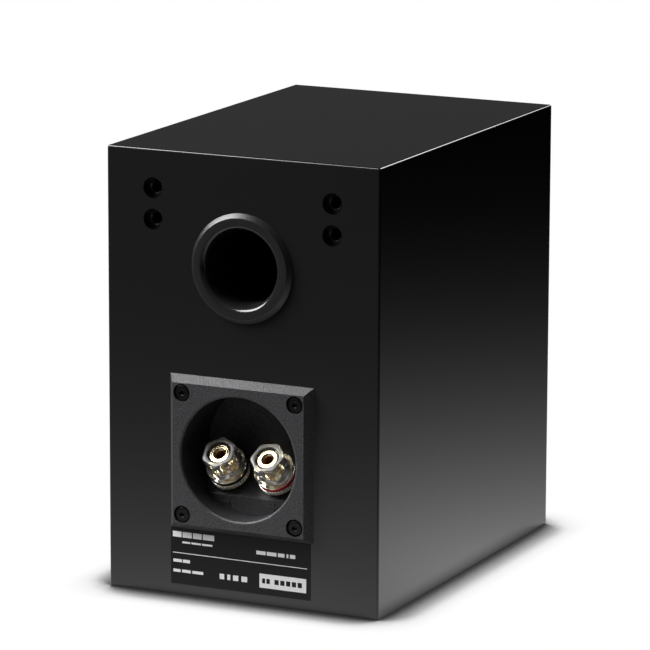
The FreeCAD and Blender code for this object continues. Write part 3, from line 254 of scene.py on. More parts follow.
def moulded_plastic(name, colour, roughness, pits, depth, contrast=0.12, specular=0.5):
    """Textured moulded plastic, mottled, its pits rougher than the grain between them."""
    made, shade, shader = surface(name, colour, roughness, Specular_IOR_Level=specular)
    grain = add_group(shade, GRAIN, Pits_per_metre=pits)
    low = scaled(colour, 1 - contrast)
    high = scaled(colour, 1 + contrast)
    shade.feed(shader.inputs["Base Color"], shade.blend(grain["Mottle"], (*low, 1.0), (*high, 1.0)))
    uneven = shade.spread(grain["Height"], 0.2, 1.1, roughness + 0.06, roughness - 0.06)
    shade.feed(shader.inputs["Roughness"], uneven)
    add_bump(shade, shader, grain["Height"], depth)
    return made


def metal(name, colour, roughness, marks=4000.0, length=0.05, depth=0.000004):
    """Bright metal with fine tool marks."""
    made, shade, shader = surface(name, colour, roughness, Metallic=1.0)
    turned = add_group(shade, TURNED, Marks_per_metre=marks, Length=length)
    vary_roughness(shade, shader, turned["Streak"], roughness * 0.8, roughness * 1.25)
    dull = scaled(colour, 0.86)
    shade.feed(shader.inputs["Base Color"], shade.blend(turned["Streak"], (*dull, 1.0), (*colour, 1.0)))
    add_bump(shade, shader, turned["Height"], depth)
    return made


def cloth(name, colour, pitch, depth, roughness=0.9):
    """Woven or pressed fibre: two crossing sets of threads with a slight fuzz."""
    made, shade, shader = surface(name, colour, roughness, Sheen_Weight=0.3)
    where = shade.place()
    threads = []
    for axis in "XYZ":
        bands = {"wave_type": "BANDS", "bands_direction": axis}
        wave = shade.node("ShaderNodeTexWave", bands, Vector=where)
        wave.inputs["Scale"].default_value = pitch
        wave.inputs["Distortion"].default_value = 1.5
        threads.append(wave.outputs["Fac"])
    across = shade.math("MAXIMUM", threads[0], threads[2])
    weave = shade.product(across, shade.math("ADD", threads[1], 0.6))
    fuzz = shade.noise(where, 900.0, 3.0)
    height = shade.math("ADD", weave, shade.product(fuzz, 0.6))
    dark = scaled(colour, 0.7)
    shade.feed(shader.inputs["Base Color"], shade.blend(fuzz, (*dark, 1.0), (*colour, 1.0)))
    add_bump(shade, shader, height, depth)
    return made


def smooth_plastic(name, colour, roughness):
    """Plain moulded or sprayed plastic, faintly smeared."""
    made, shade, shader = surface(name, colour, roughness)
    marks = add_group(shade, HANDLING, Smear_size=90.0, Dust=0.1)
    vary_roughness(shade, shader, marks["Smears"], roughness * 0.85, roughness * 1.2)
    add_bump(shade, shader, shade.noise(shade.place(), 800.0, 2.0), 0.000006)
    return made


def clear_plastic(name, smoothest, roughest):
    """Clear polycarbonate."""
    made, shade, shader = surface(
        name, (0.98, 0.98, 0.98), smoothest, IOR=1.5, Transmission_Weight=0.95)
    marks = add_group(shade, HANDLING, Smear_size=150.0, Dust=0.0)
    vary_roughness(shade, shader, marks["Smears"], smoothest, roughest)
    return made


def port_moulding():
    """The port's moulding: grained rim outside, polished flare and bore inside."""
    made, shade, shader = surface("port_moulding", (0.012, 0.012, 0.0125), 0.4)
    low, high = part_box("port_flange")
    centre = (low + high) / 2
    spot = shade.node("ShaderNodeSeparateXYZ")
    shade.feed(spot.inputs[0], shade.place())
    across = shade.math("SUBTRACT", spot.outputs["X"], centre.x)
    up = shade.math("SUBTRACT", spot.outputs["Z"], centre.z)
    squares = shade.math("ADD", shade.product(across, across), shade.product(up, up))
    radius = shade.math("SQRT", squares)
    rim = shade.spread(radius, (PORT_MOUTH - 0.5) * MM, (PORT_MOUTH + 0.3) * MM)
    grain = add_group(shade, GRAIN, Pits_per_metre=1500.0)
    vary_roughness(shade, shader, rim, 0.16, 0.32)
    add_bump(shade, shader, shade.product(grain["Height"], rim), 0.00004)
    return made


BLACK_PAINT = (0.0022, 0.0022, 0.0023)
LACQUER = black_lacquer("black_lacquer", BLACK_PAINT)
# The rear board's lacquer, with painted light on its rear face: a lighter grey there.
REAR_LACQUER_PAINTED_LIGHT = black_lacquer("rear_board_lacquer_painted_light", BLACK_PAINT, (0.012, 0.012, 0.0122))
PORT = port_moulding()
CUP = moulded_plastic("cup_moulding", (0.031, 0.0316, 0.0338), 0.45, 1700.0, 0.00008, 0.5)
NYLON = moulded_plastic("black_nylon", (0.012, 0.012, 0.012), 0.5, 2200.0, 0.00002)
CARD = smooth_plastic("blacked_tube", (0.003, 0.003, 0.003), 0.6)
PRINT = smooth_plastic("white_print", (0.8, 0.8, 0.8), 0.5)
FOAM = moulded_plastic("sealing_foam", (0.01, 0.01, 0.01), 0.85, 900.0, 0.0002)
FILM = moulded_plastic("label_film", (0.003, 0.003, 0.0032), 0.4, 5000.0, 0.000006, specular=0.22)
BLACK_STEEL = metal("black_oxide", (0.028, 0.028, 0.03), 0.34)
ZINC = metal("zinc_plate", (0.62, 0.62, 0.6), 0.3)
BLACKED = metal("blacked_insert", (0.05, 0.048, 0.045), 0.38)
BORE = metal("bore_gold", (0.5, 0.27, 0.06), 0.3)
CHAMPAGNE = metal("champagne_plate", (0.95, 0.9, 0.8), 0.25)
GOLD = metal("pale_gold", (0.9, 0.77, 0.5), 0.14)
COPPER = metal("enamelled_copper", (0.72, 0.3, 0.14), 0.25, 2500.0, 0.6, 0.00008)
ALUMINIUM = metal("foil_former", (0.75, 0.75, 0.76), 0.3)
FERRITE = moulded_plastic("ground_ferrite", (0.03, 0.03, 0.032), 0.55, 1200.0, 0.00005)
BASKET = moulded_plastic("powder_coat", (0.014, 0.014, 0.015), 0.45, 1800.0, 0.00003)
TRIM = smooth_plastic("satin_trim", (0.012, 0.012, 0.013), 0.32)
RUBBER = smooth_plastic("butyl_rubber", (0.012, 0.012, 0.0125), 0.5)
PAPER = cloth("coated_pulp", (0.022, 0.022, 0.024), 900.0, 0.00003, 0.6)
SPIDER = cloth("dipped_cotton", (0.5, 0.34, 0.12), 700.0, 0.00006, 0.8)
SILK = cloth("coated_silk", (0.012, 0.012, 0.013), 1400.0, 0.00001, 0.45)
PHENOLIC = smooth_plastic("phenolic_board", (0.22, 0.11, 0.03), 0.4)
SOLDER_MASK = smooth_plastic("solder_mask", (0.012, 0.11, 0.035), 0.25)
CAPACITOR = smooth_plastic("film_wrap", (0.62, 0.4, 0.03), 0.3)
CEMENT = moulded_plastic("white_cement", (0.7, 0.69, 0.64), 0.7, 1500.0, 0.00006)
WADDING = cloth("polyester_wadding", (0.8, 0.8, 0.78), 120.0, 0.0006, 0.95)
RED_WIRE = smooth_plastic("red_insulation", (0.45, 0.012, 0.012), 0.35)
BLACK_WIRE = smooth_plastic("black_insulation", (0.012, 0.012, 0.012), 0.35)
RED_RING = smooth_plastic("red_acetal", (0.55, 0.006, 0.03), 0.22)
BLACK_RING = smooth_plastic("black_acetal", (0.01, 0.01, 0.01), 0.25)
CLEAR = clear_plastic("clear_plastic", 0.01, 0.04)
FROSTED = clear_plastic("clear_plastic_sanded", 0.34, 0.42)

FINISHES = {
    "cabinet_lacquer": LACQUER, "port_plastic": PORT, "port_card": CARD, "cup_plastic": CUP,
    "black_steel": BLACK_STEEL, "zinc_steel": ZINC, "brass_insert": BLACKED, "foam": FOAM,
    "label_film": FILM, "gold_plate": GOLD, "black_nylon": NYLON, "red_ring": RED_RING,
    "black_ring": BLACK_RING, "clear_plastic": CLEAR, "basket_steel": BASKET, "ferrite": FERRITE,
    "motor_steel": ZINC, "cone_paper": PAPER, "surround_rubber": RUBBER, "spider_cloth": SPIDER,
    "former_card": ALUMINIUM, "copper_winding": COPPER, "trim_plastic": TRIM,
    "tag_board": PHENOLIC, "dome_silk": SILK, "circuit_board": SOLDER_MASK,
    "capacitor_film": CAPACITOR, "resistor_ceramic": CEMENT, "wadding": WADDING,
    "red_wire": RED_WIRE, "black_wire": BLACK_WIRE,
}


def finish_frame_nodes():
    """Gives every CAD node the finish of its material slot."""
    for entry in frame["record"]["subparts"]:
        node = NODES[entry["node"]]
        node.data.materials.clear()
        node.data.materials.append(FINISHES[entry["material_slot"]])


finish_frame_nodes()
# The rear panel takes the lacquer whose rear face carries painted light.
NODES["rear_panel"].data.materials[0] = REAR_LACQUER_PAINTED_LIGHT


# ---------------------------------------------------------------- shaping

def frame_at(x, y, z, outward):
    """A place in millimetres whose own Z runs outward, with X across the loudspeaker."""
    own_z = Vector(outward).normalized()
    own_x = Vector((1, 0, 0))
    own_y = own_z.cross(own_x)
    turn = Matrix((own_x, own_y, own_z)).transposed()
    return Matrix.Translation(Vector((x, y, z)) * MM) @ turn.to_4x4() @ Matrix.Scale(MM, 4)


def eased(corners, steps=4):
    """Rounds the corners of a closed outline.
    A corner is (radius, height), left sharp, or (radius, height, rounding)."""
    smooth = []
    count = len(corners)
    for index, corner in enumerate(corners):
        here = Vector(corner[:2])
        if len(corner) == 2 or corner[2] == 0:
            smooth.append(tuple(here))
            continue
        before = Vector(corners[index - 1][:2]) - here
        after = Vector(corners[(index + 1) % count][:2]) - here
        reach = min(corner[2], 0.45 * before.length, 0.45 * after.length)
        first = here + before.normalized() * reach
        last = here + after.normalized() * reach
        for step in range(steps + 1):
            share = step / steps
            point = first * (1 - share) ** 2 + here * 2 * share * (1 - share) + last * share ** 2
            smooth.append(tuple(point))
    return smooth


def turn_profile(mesh, corners, place, sides, shape=None):
    """Turns a closed outline of (radius, height) about a place's own Z, into a bmesh.
    shape(radius, height, angle) gives the radius that a point really has."""
    rings = []
    for radius, level in corners:
        if radius < 1e-6:
            rings.append([mesh.verts.new(place @ Vector((0, 0, level)))] * sides)
            continue
        ring = []
        for side in range(sides):
            angle = 2 * math.pi * side / sides
            reach = shape(radius, level, angle) if shape else radius
            point = Vector((reach * math.cos(angle), reach * math.sin(angle), level))
            ring.append(mesh.verts.new(place @ point))
        rings.append(ring)
    for low, high in zip(rings, rings[1:] + rings[:1]):
        if low[0] is low[1] and high[0] is high[1]:
            continue
        for side in range(sides):
            after = (side + 1) % sides
            face = dict.fromkeys((low[side], low[after], high[after], high[side]))
            mesh.faces.new(tuple(face))


def make_piece(name, mesh, finish, body, stands_for=(), sharp=35.0):
    """Turns a bmesh into a piece that rides on a body."""
    bmesh.ops.recalc_face_normals(mesh, faces=mesh.faces)
    data = bpy.data.meshes.new(name)
    mesh.to_mesh(data)
    mesh.free()
    data.shade_smooth()
    data.set_sharp_from_angle(angle=math.radians(sharp))
    data.materials.append(finish)
    piece = bpy.data.objects.new(name, data)
    bpy.context.scene.collection.objects.link(piece)
    if body:
        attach(piece, body)
    if stands_for:
        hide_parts(*stands_for)
    return piece


def turned_piece(name, corners, place, finish, body, stands_for, sides, shape=None, sharp=35.0):
    """A piece turned about the place's own Z, in as many sides as its size on the object asks for."""
    mesh = bmesh.new()
    turn_profile(mesh, corners, place, sides, shape)
    return make_piece(name, mesh, finish, body, stands_for, sharp)


def add_block(mesh, low, high):
    """Adds a block between two corners in millimetres."""
    made = bmesh.ops.create_cube(mesh, size=1.0)
    centre = (Vector(low) + Vector(high)) / 2 * MM
    size = (Vector(high) - Vector(low)) * MM
    bmesh.ops.scale(mesh, vec=size, verts=made["verts"])
    bmesh.ops.translate(mesh, vec=centre, verts=made["verts"])


# ---------------------------------------------------------------- binding posts

# Each post leans back at 45 degrees from its foot on the ramp of the cup. Radii and levels are in
# millimetres from the post's own axis and its foot.
POST_Y = 84.505
POST_Z = 56.495
POST_LEAN = (0, 1, 1)
POST_X = {"negative": 12.5, "positive": -12.5}
KNOB_TURN = {"negative": 35.0, "positive": 10.0}
RING_FINISH = {"negative": BLACK_RING, "positive": RED_RING}
STEM = 4.0
STEM_TOP = 19.6
SOCKET = 2.05
SEAT = 9.65
SEAT_FOOT = 2.9
SEAT_TOP = 5.6
KNURLS = 40
SOCKET_SLOTS = 4
CORE = 6.2
CORE_FLUTES = 8
SKIRT = 9.6
KNOB_TOP = 20.8
FACET = 7.72
FACET_CORNER = 8.45


def slope(value, low, high):
    """0 below low, 1 above high, smooth between."""
    share = min(max((value - low) / (high - low), 0.0), 1.0)
    return share * share * (3 - 2 * share)


def from_middle(angle, count):
    """How far an angle lies from the middle of its own share of the circle, 0 to 0.5."""
    return abs((angle * count / (2 * math.pi)) % 1.0 - 0.5)


def knurled_seat(radius, level, angle):
    """Straight knurling round the seat, and two flats along the stem."""
    if STEM - 0.05 < radius < STEM + 0.05 and level > SEAT_TOP + 0.1:
        return min(radius, (STEM - 0.5) / max(abs(math.cos(angle)), 1e-6))
    if radius < SEAT - 0.35 or not SEAT_FOOT + 0.3 < level < SEAT_TOP - 0.15:
        return radius
    groove = 1 - slope(from_middle(angle, KNURLS), 0.14, 0.3)
    return radius - 1.3 * groove * slope(level, SEAT_FOOT + 0.4, SEAT_FOOT + 0.7)


def slotted_socket(radius, level, angle):
    """Four spring slots down the banana socket."""
    if radius > SOCKET + 0.15 or level > STEM_TOP - 1.4:
        return knurled_seat(radius, level, angle)
    return radius + 0.4 * (1 - slope(from_middle(angle, SOCKET_SLOTS), 0.03, 0.05))


def fluted_core(radius, level, angle):
    """Eight flutes down the core's body."""
    if radius < CORE - 0.7 or level < 7.75:
        return radius
    flute = 1 - slope(from_middle(angle, CORE_FLUTES), 0.17, 0.23)
    return radius - 1.2 * flute


def faceted_grip(first_angle):
    """A round skirt that runs up into six facets."""
    def shape(radius, level, angle):
        if radius < 7.0:
            return radius
        inset = SKIRT - radius
        turn = (math.degrees(angle) - first_angle) % 60.0 - 30.0
        apothem = FACET + 2.0 * (1 - slope(level, 10.6, 13.2)) - inset
        facet = apothem / math.cos(math.radians(turn))
        corner = FACET_CORNER + 1.15 * (1 - slope(level, 11.0, 12.4)) - inset
        return min(radius, facet, corner)
    return shape


def finish_part(piece, place, finish, chosen):
    """Gives a second finish to the faces where chosen(radius, height) holds."""
    piece.data.materials.append(finish)
    own = place.inverted()
    for face in piece.data.polygons:
        middle = own @ face.center
        if chosen(math.hypot(middle.x, middle.y), middle.z):
            face.material_index = len(piece.data.materials) - 1


def make_stem(side, place):
    """The threaded stem with its knurled seat, and the banana socket down its middle."""
    corners = eased([
        (0, -16), (3, -16, 0.4), (3, SEAT_FOOT), (SEAT - 0.1, SEAT_FOOT, 0.5), (SEAT, 3.5), (SEAT, 3.9),
        (SEAT, 4.6), (SEAT, 5.2), (SEAT, SEAT_TOP, 0.25), (STEM, SEAT_TOP), (STEM, 5.8),
        (STEM, STEM_TOP, 0.2), (3.2, STEM_TOP, 0.15), (2.25, 18.6, 0.2), (SOCKET, 18.1), (SOCKET, 3.6),
        (0, 3.6)])
    piece = turned_piece(side + "_seat", corners, place, CHAMPAGNE, "cabinet",
                         (side + "_stem",), sides=400, shape=slotted_socket)
    finish_part(piece, place, BORE, lambda radius, level: radius < 2.35 and level > 3.0)
    finish_part(piece, place, GOLD, lambda radius, level: radius >= 2.35 and level > 15.0)


def make_colour_ring(side, place):
    corners = eased([(4.13, 5.72), (9.5, 5.72, 0.3), (9.5, 7.32, 0.3), (4.13, 7.32)])
    turned_piece(side + "_colour_ring", corners, place, RING_FINISH[side], side + "_clamp",
                 (side + "_ring",), sides=144)


def make_gold_core(side, place):
    """The knob's threaded metal core: a flange, a ribbed body and a plain neck."""
    ribs = [(CORE - 0.18 * (step % 2), 8.0 + 0.25 * step) for step in range(25)]
    corners = eased([(4.12, 7.44), (9.1, 7.44, 0.1), (9.1, 7.7, 0.1), (5.9, 7.7)] + ribs + [
        (CORE, 14.54, 0.2), (4.9, 14.54), (4.9, STEM_TOP, 0.35), (4.12, STEM_TOP, 0.2)])
    piece = turned_piece(side + "_gold_core", corners, place, GOLD, side + "_nut",
                         (side + "_core",), sides=192, shape=fluted_core)
    finish_part(piece, place, BORE, lambda radius, level: radius < 5.3 and 7.9 < level < 14.4)


def make_clear_knob(side, place):
    """The clear grip moulded round the core, its end face sanded."""
    levels = (9.4, 9.9, 10.6, 11.0, 11.4, 11.8, 12.2, 12.6, 13.0, 13.4, 14.5, 16.0, 17.5, 19.0)
    foot = [(9.5, 7.85), (SKIRT, 8.0), (SKIRT, 8.5), (SKIRT - 0.25, 8.75), (SKIRT, 9.0)]
    corners = [(CORE + 0.05, 7.76), (9.35, 7.76)] + foot + [(SKIRT, level) for level in levels] + [
        (SKIRT, 20.1), (9.5, 20.45), (9.2, 20.7), (8.9, KNOB_TOP), (CORE, KNOB_TOP), (5.95, 20.72),
        (5.8, 20.5), (5.8, 14.6), (CORE + 0.05, 14.54)]
    piece = turned_piece(side + "_clear_knob", corners, place, CLEAR, side + "_nut",
                         (side + "_knob",), sides=240, shape=faceted_grip(KNOB_TURN[side]), sharp=28.0)
    finish_part(piece, place, FROSTED, lambda radius, level: level > KNOB_TOP - 0.2)


def make_post(side):
    place = frame_at(POST_X[side], POST_Y, POST_Z, POST_LEAN)
    make_stem(side, place)
    make_colour_ring(side, place)
    make_gold_core(side, place)
    make_clear_knob(side, place)


# ---------------------------------------------------------------- screws

def lobed(socket):
    """Six lobes in a screw's socket."""
    def shape(radius, level, angle):
        if 0.01 < radius < socket * 1.05:
            return radius * (1 + 0.11 * math.cos(6 * angle))
        return radius
    return shape


def make_screws(name, places, outward, head, head_height, shank, length, socket):
    """A set of round-headed screws, each with a lobed socket. Sizes are radii and heights."""
    mesh = bmesh.new()
    for place in places:
        corners = eased([
            (0, -length), (shank, -length, 0.3), (shank, 0), (head, 0, 0.05), (head, head_height, 0.55),
            (socket + 0.25, head_height, 0.1), (socket, head_height - 0.2), (socket, head_height - 1.3),
            (socket * 0.5, head_height - 1.45), (0, head_height - 1.5)])
        turn_profile(mesh, corners, frame_at(*place, outward), 72, lobed(socket))
    make_piece(name + "_turned", mesh, BLACK_STEEL, "cabinet", (name,))


def circle_of_places(count, first_angle, radius, depth, height):
    """Places evenly round a driver, at a depth, about a height."""
    places = []
    for index in range(count):
        angle = math.radians(first_angle + 360 / count * index)
        places.append((radius * math.cos(angle), depth, height + radius * math.sin(angle)))
    return places


def make_all_screws():
    reach = 29.2
    cup = [(x, REAR_FACE + 1.2, CUP_HEIGHT + z) for x in (-reach, reach) for z in (-reach, reach)]
    make_screws("cup_screws", cup, BACKWARD,
                head=3.5, head_height=2.8, shank=1.95, length=13.2, socket=1.25)
    woofer = circle_of_places(6, 90, 54, FRONT_FACE + 1.8, WOOFER_HEIGHT)
    make_screws("woofer_screws", woofer, FORWARD,
                head=3.1, head_height=1.6, shank=1.7, length=12.4, socket=1.1)
    tweeter = circle_of_places(4, 45, 31.7, FRONT_FACE + 1.6, TWEETER_HEIGHT)
    make_screws("tweeter_screws", tweeter, FORWARD,
                head=2.6, head_height=1.4, shank=1.4, length=11.6, socket=1.0)


# ---------------------------------------------------------------- port

def make_port_rim():
    """The port's flange, its mouth rolled smoothly into the bore. Levels run out from the rear face."""
    bore = 18.0
    rim = 25.9
    flare = []
    for step in range(19):
        turn = math.radians(90 - 5 * step)
        flare.append((PORT_MOUTH - (PORT_MOUTH - bore) * math.cos(turn), -1.9 + 4.4 * math.sin(turn)))
    corners = eased([
        (bore, -2), (20.05, -2), (20.05, -22), (22.05, -22), (22.05, 0), (rim, 0),
        (rim, 0.15), (24, 2.5, 0.25)] + flare)
    place = frame_at(0, REAR_FACE, PORT_HEIGHT, BACKWARD)
    turned_piece("port_rim", corners, place, PORT, "cabinet", ("port_flange",), sides=240)


# ---------------------------------------------------------------- label

def make_label_print():
    """White print on the label: a rule, a box, and plain bars where words would be.
    A row is its foot, its top, and each bar's two ends across the loudspeaker."""
    mesh = bmesh.new()
    rows = (
        (28.2, 30.9, ((36.2, 31.6), (31.0, 26.2), (25.6, 21.0), (20.4, 14.4))),
        (25.4, 26.3, ((31.2, 27.0), (26.4, 21.4), (20.8, 15.4))),
        (24.6, 26.4, ((-7.6, -12.4), (-13.0, -18.0), (-18.8, -22.2), (-23.2, -24.2), (-25.0, -27.8))),
        (16.0, 17.5, ((36.0, 31.4), (30.9, 27.2))),
        (11.2, 12.6, ((36.0, 32.2), (31.4, 26.8), (26.0, 20.2))),
        (10.4, 13.0, ((11.6, 9.2), (7.6, 6.0), (4.6, 1.8), (0.2, -2.8))),
        (20.4, 20.75, ((36.3, -33.9),)),
        (8.8, 15.6, ((-9.2, -33.4),)),
    )
    for low, high, bars in rows:
        for left, right in bars:
            add_block(mesh, (right, REAR_FACE + 0.19, low), (left, REAR_FACE + 0.215, high))
    make_piece("label_print", mesh, PRINT, "cabinet")
    dark = bmesh.new()
    marks = ((-10.6, -12.2), (-12.8, -14.6), (-17.0, -19.2), (-20.0, -22.2), (-23.0, -25.2),
             (-26.0, -28.2), (-29.0, -31.2))
    for left, right in marks:
        add_block(dark, (right, REAR_FACE + 0.2, 11.0), (left, REAR_FACE + 0.22, 13.4))
    make_piece("label_box_marks", dark, FILM, "cabinet")


# ---------------------------------------------------------------- surround rolls and spider

def bend_ring(piece, middle):
    """Moves each point for a moment to its distance from the middle and bakes the piece's transform there,
    then puts every point back where it was."""
    points = [vertex.co.copy() for vertex in piece.data.vertices]
    for vertex in piece.data.vertices:
        radius = math.hypot(vertex.co.x, vertex.co.z - middle * MM)
        vertex.co = (radius, 0, 0)
    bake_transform(piece)
    for vertex, point in zip(piece.data.vertices, points):
        vertex.co = point
    piece.data.update()


def arch(inner, outer, base, rise, steps=16):
    """A half-round roll between two radii, from inner to outer."""
    middle = (inner + outer) / 2
    half = (outer - inner) / 2
    points = []
    for step in range(steps + 1):
        angle = math.pi * (1 - step / steps)
        points.append((middle + half * math.cos(angle), base + rise * math.sin(angle)))
    return points


def rolled_sheet(top_roll, under_roll, inner, outer, top, under):
    """The outline of a thin sheet with a roll in it, from its top edge round to its underside."""
    return [(inner, top)] + top_roll + [(outer, top), (outer, under)] + under_roll[::-1] + [(inner, under)]


def make_woofer_roll(place):
    top, under = -2.0, -2.45
    corners = rolled_sheet(arch(39.0, 46.5, top, 3.7), arch(39.5, 46.0, under, 3.2), 37.2, 50.2, top, under)
    roll = turned_piece("woofer_roll", corners, place, RUBBER, None,
                        ("woofer_surround",), sides=144)
    bend_ring(roll, WOOFER_HEIGHT)


def make_tweeter_roll(place):
    top, under = -5.0, -5.4
    top_roll = arch(13.1, 16.2, top, 1.5, 10)
    corners = rolled_sheet(top_roll, arch(13.5, 15.8, under, 1.15, 10), 13.0, 18.9, top, under)
    roll = turned_piece("tweeter_roll", corners, place, SILK, None,
                        ("tweeter_surround",), sides=120)
    bend_ring(roll, TWEETER_HEIGHT)


def make_woofer_damper(place):
    """The spider: a corrugated cloth disc, its waves fading out at both edges."""
    wavelength = 4.0
    half_thickness = 0.2
    waves = []
    for step in range(101):
        along = 0.2 * step
        fading = slope(step, 4, 9) * (1 - slope(step, 92, 98))
        level = -27.75 + 0.55 * math.sin(2 * math.pi * along / wavelength) * fading
        waves.append((min(10.6 + along, 33.6), level))
    top = [(radius, level + half_thickness) for radius, level in waves]
    under = [(radius, level - half_thickness) for radius, level in waves][::-1]
    spider = turned_piece("woofer_damper", top + under, place, SPIDER, None,
                          ("woofer_spider",), sides=96, sharp=70.0)
    bend_ring(spider, WOOFER_HEIGHT)


def make_surrounds():
    woofer = frame_at(0, FRONT_FACE, WOOFER_HEIGHT, FORWARD)
    tweeter = frame_at(0, FRONT_FACE, TWEETER_HEIGHT, FORWARD)
    make_woofer_roll(woofer)
    make_tweeter_roll(tweeter)
    make_woofer_damper(woofer)


# ---------------------------------------------------------------- wadding

PAD_STEP = 3
PAD_THICKNESS = 15.6


def pad_point(u, v, along, across):
    """A point of the pad's upper face, u and v running from -1 to 1: full in the middle, thin, uneven
    and a little drawn in at the sheared edges."""
    edge = min(1.0, 3.2 * (1 - abs(u))) * min(1.0, 3.2 * (1 - abs(v)))
    crown = 0.62 + 0.38 * math.sqrt(max(edge, 0.0))
    tuft = 0.045 * math.sin(9.1 * u + 5 * v) * math.sin(7.3 * v - 3 * u) - 0.045
    pull_along = 1 - 0.02 * (1 - v * v) * abs(u) ** 3
    pull_across = 1 - 0.02 * (1 - u * u) * abs(v) ** 3
    rise = PAD_THICKNESS / 2 * min(1.0, crown + tuft)
    return u * along / 2 * pull_along, v * across / 2 * pull_across, rise


def make_wadding_pad(name, along, across, middle, axes):
    """A crowned sheet of wadding. axes are its directions along, across and through."""
    mesh = bmesh.new()
    columns = int(along / PAD_STEP)
    rows = int(across / PAD_STEP)
    grid = {}
    for face in (-1, 1):
        for i in range(columns + 1):
            for j in range(rows + 1):
                x, y, rise = pad_point(2 * i / columns - 1, 2 * j / rows - 1, along, across)
                amounts = zip(axes, (x, y, face * rise))
                local = sum((axis * amount for axis, amount in amounts), Vector(middle)) * MM
                grid[face, i, j] = mesh.verts.new(local)
    for face in (-1, 1):
        for i in range(columns):
            for j in range(rows):
                mesh.faces.new([grid[face, i + a, j + b] for a, b in ((0, 0), (1, 0), (1, 1), (0, 1))])
    rim = [(i, 0) for i in range(columns)] + [(columns, j) for j in range(rows)]
    rim += [(i, rows) for i in range(columns, 0, -1)] + [(0, j) for j in range(rows, 0, -1)]
    for here, after in zip(rim, rim[1:] + rim[:1]):
        mesh.faces.new((grid[-1, *here], grid[-1, *after], grid[1, *after], grid[1, *here]))
    piece = make_piece(name + "_wadding", mesh, WADDING, "cabinet", (name,), sharp=80.0)
    rounding = piece.modifiers.new("rounding", "BEVEL")
    rounding.width = 1.5 * MM
    rounding.segments = 3


def make_wadding():
    x, y, z = Vector((1, 0, 0)), Vector((0, 1, 0)), Vector((0, 0, 1))
    make_wadding_pad("damping_pad_top", 114.4, 95.4, (0, 12.5, 191.7), (y, x, z))
    make_wadding_pad("damping_pad_left", 85.4, 83.4, (49.7, 15, 88), (y, z, x))
    make_wadding_pad("damping_pad_right", 85.4, 83.4, (-49.7, 15, 88), (y, z, x))


for side in POST_X:
    make_post(side)
make_all_screws()
make_port_rim()
make_label_print()
make_surrounds()
make_wadding()


# ---------------------------------------------------------------- studio

WHITE = (1.0, 1.0, 1.0, 1.0)


def aim_camera():
    """A long lens, from behind and a little above. Distances are in metres."""
    azimuth = math.radians(205.52)
    elevation = math.radians(12.06)
    roll = math.radians(0.19)
    distance = 2.201
    target = Vector((0.0052, 0.0, 0.1134))
    back = Vector((
        math.sin(azimuth) * math.cos(elevation),
        -math.cos(azimuth) * math.cos(elevation),
        math.sin(elevation)))
    right = Vector((0, 0, 1)).cross(back).normalized()
    up = back.cross(right)
    level_right = right * math.cos(roll) + up * math.sin(roll)
    level_up = up * math.cos(roll) - right * math.sin(roll)
    camera = bpy.data.objects.new("camera", bpy.data.cameras.new("camera"))
    bpy.context.scene.collection.objects.link(camera)
    camera.data.sensor_width = 36.0
    camera.data.lens = 252.72
    camera.data.clip_end = 50.0
    turn = Matrix((level_right, level_up, back)).transposed()
    camera.matrix_world = Matrix.Translation(target + back * distance) @ turn.to_4x4()
    bpy.context.scene.camera = camera


def soft_light(name, place, target, side, power):
    """A square soft box, its side in metres and its power in watts."""
    data = bpy.data.lights.new(name, "AREA")
    data.shape = "RECTANGLE"
    data.size = side
    data.size_y = side
    data.energy = power
    lamp = bpy.data.objects.new(name, data)
    bpy.context.scene.collection.objects.link(lamp)
    lamp.location = place
    lamp.rotation_mode = "QUATERNION"
    lamp.rotation_quaternion = (Vector(target) - Vector(place)).to_track_quat("-Z", "Y")


def choose_shader(shade, seen_by, otherwise, chosen):
    """Mixes two shaders by the kind of ray: one output name of the light path node."""
    path = shade.node("ShaderNodeLightPath")
    mixed = shade.node("ShaderNodeMixShader")
    shade.feed(mixed.inputs[0], path.outputs[seen_by])
    shade.feed(mixed.inputs[1], otherwise.outputs[0])
    shade.feed(mixed.inputs[2], chosen.outputs[0])
    return mixed


def glow(shade, strength):
    lit = shade.node("ShaderNodeEmission", Color=WHITE)
    shade.feed(lit.inputs["Strength"], strength)
    return lit


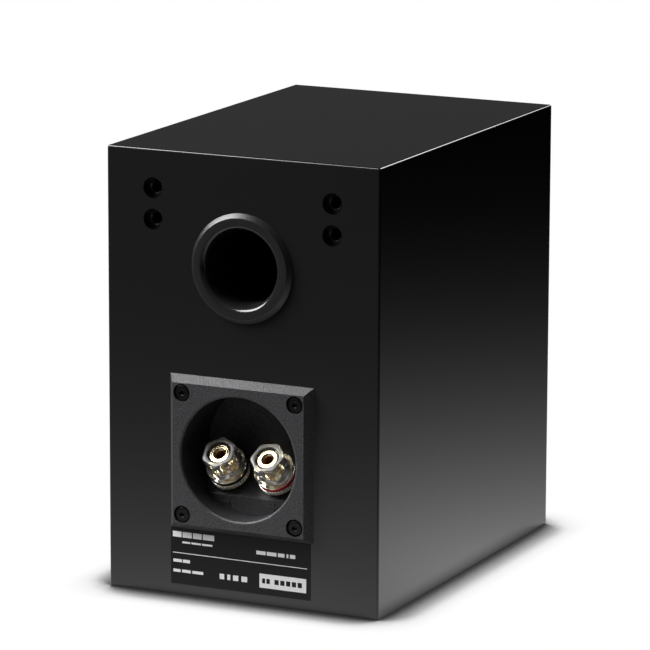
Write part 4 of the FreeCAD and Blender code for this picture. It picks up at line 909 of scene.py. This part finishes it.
def make_floor():
    """A plain pale floor that glows white for the camera, with a painted contact shadow close under the
    loudspeaker.
    A gloss surface sees a painted pool of light in it, dimming with distance as under a lamp over the
    table, with painted shade at the loudspeaker's foot."""
    bpy.ops.mesh.primitive_plane_add(size=60.0, location=(0, 0, 0))
    floor = bpy.context.object
    floor.name = "studio_floor"
    made = bpy.data.materials.new("studio_floor")
    made.use_nodes = True
    tree = made.node_tree
    tree.nodes.clear()
    shade = Shader(tree)
    spot = shade.node("ShaderNodeVectorMath", {"operation": "LENGTH"})
    shade.feed(spot.inputs[0], shade.place())
    # Painted pool of light: the glow that gloss surfaces see in the floor falls off with distance from the
    # middle.
    painted_pool_falloff = shade.math("EXPONENT", shade.math("DIVIDE", spot.outputs["Value"], -0.2))
    # Painted contact shadow: ambient occlusion darkens the floor's glow close to the loudspeaker.
    nearness = shade.node("ShaderNodeAmbientOcclusion", {"samples": 8, "only_local": False}, Distance=0.024)
    openness = nearness.outputs["AO"]
    clear = shade.math("POWER", shade.spread(openness, 0.48, 0.95, 0.3, 1.0), 3.0)
    # Painted shade in the floor's reflection, only at the loudspeaker's very foot.
    painted_foot_shade_in_gloss = shade.spread(openness, 0.5, 0.68, 0.15, 1.0)
    mirrored = glow(shade, shade.product(shade.product(painted_pool_falloff, 1.9), painted_foot_shade_in_gloss))
    bounced = shade.node("ShaderNodeBsdfDiffuse", Color=(0.12, 0.12, 0.12, 1.0))
    direct = choose_shader(shade, "Is Camera Ray", bounced, glow(shade, clear))
    mixed = choose_shader(shade, "Is Glossy Ray", direct, mirrored)
    out = shade.node("ShaderNodeOutputMaterial")
    shade.feed(out.inputs["Surface"], mixed.outputs[0])
    floor.data.materials.append(made)


def light_studio():
    """White where the camera looks straight at it, dim for everything it lights, and two soft boxes."""
    world = bpy.data.worlds.new("studio")
    world.use_nodes = True
    tree = world.node_tree
    shade = Shader(tree)
    tree.nodes.clear()
    dim = shade.node("ShaderNodeBackground", Color=WHITE, Strength=0.07)
    white = shade.node("ShaderNodeBackground", Color=WHITE, Strength=1.0)
    mixed = choose_shader(shade, "Is Camera Ray", dim, white)
    out = shade.node("ShaderNodeOutputWorld")
    shade.feed(out.inputs["Surface"], mixed.outputs[0])
    bpy.context.scene.world = world
    soft_light("overhead", (1.14, 0.5, 1.2), (0, 0, 0.1), 1.2, 80.0)
    soft_light("front_fill", (-0.5, -1.3, 1.1), (0, -0.1, 0.12), 0.8, 16.0)
    bpy.context.scene.view_settings.view_transform = "Standard"


aim_camera()
make_floor()
light_studio()
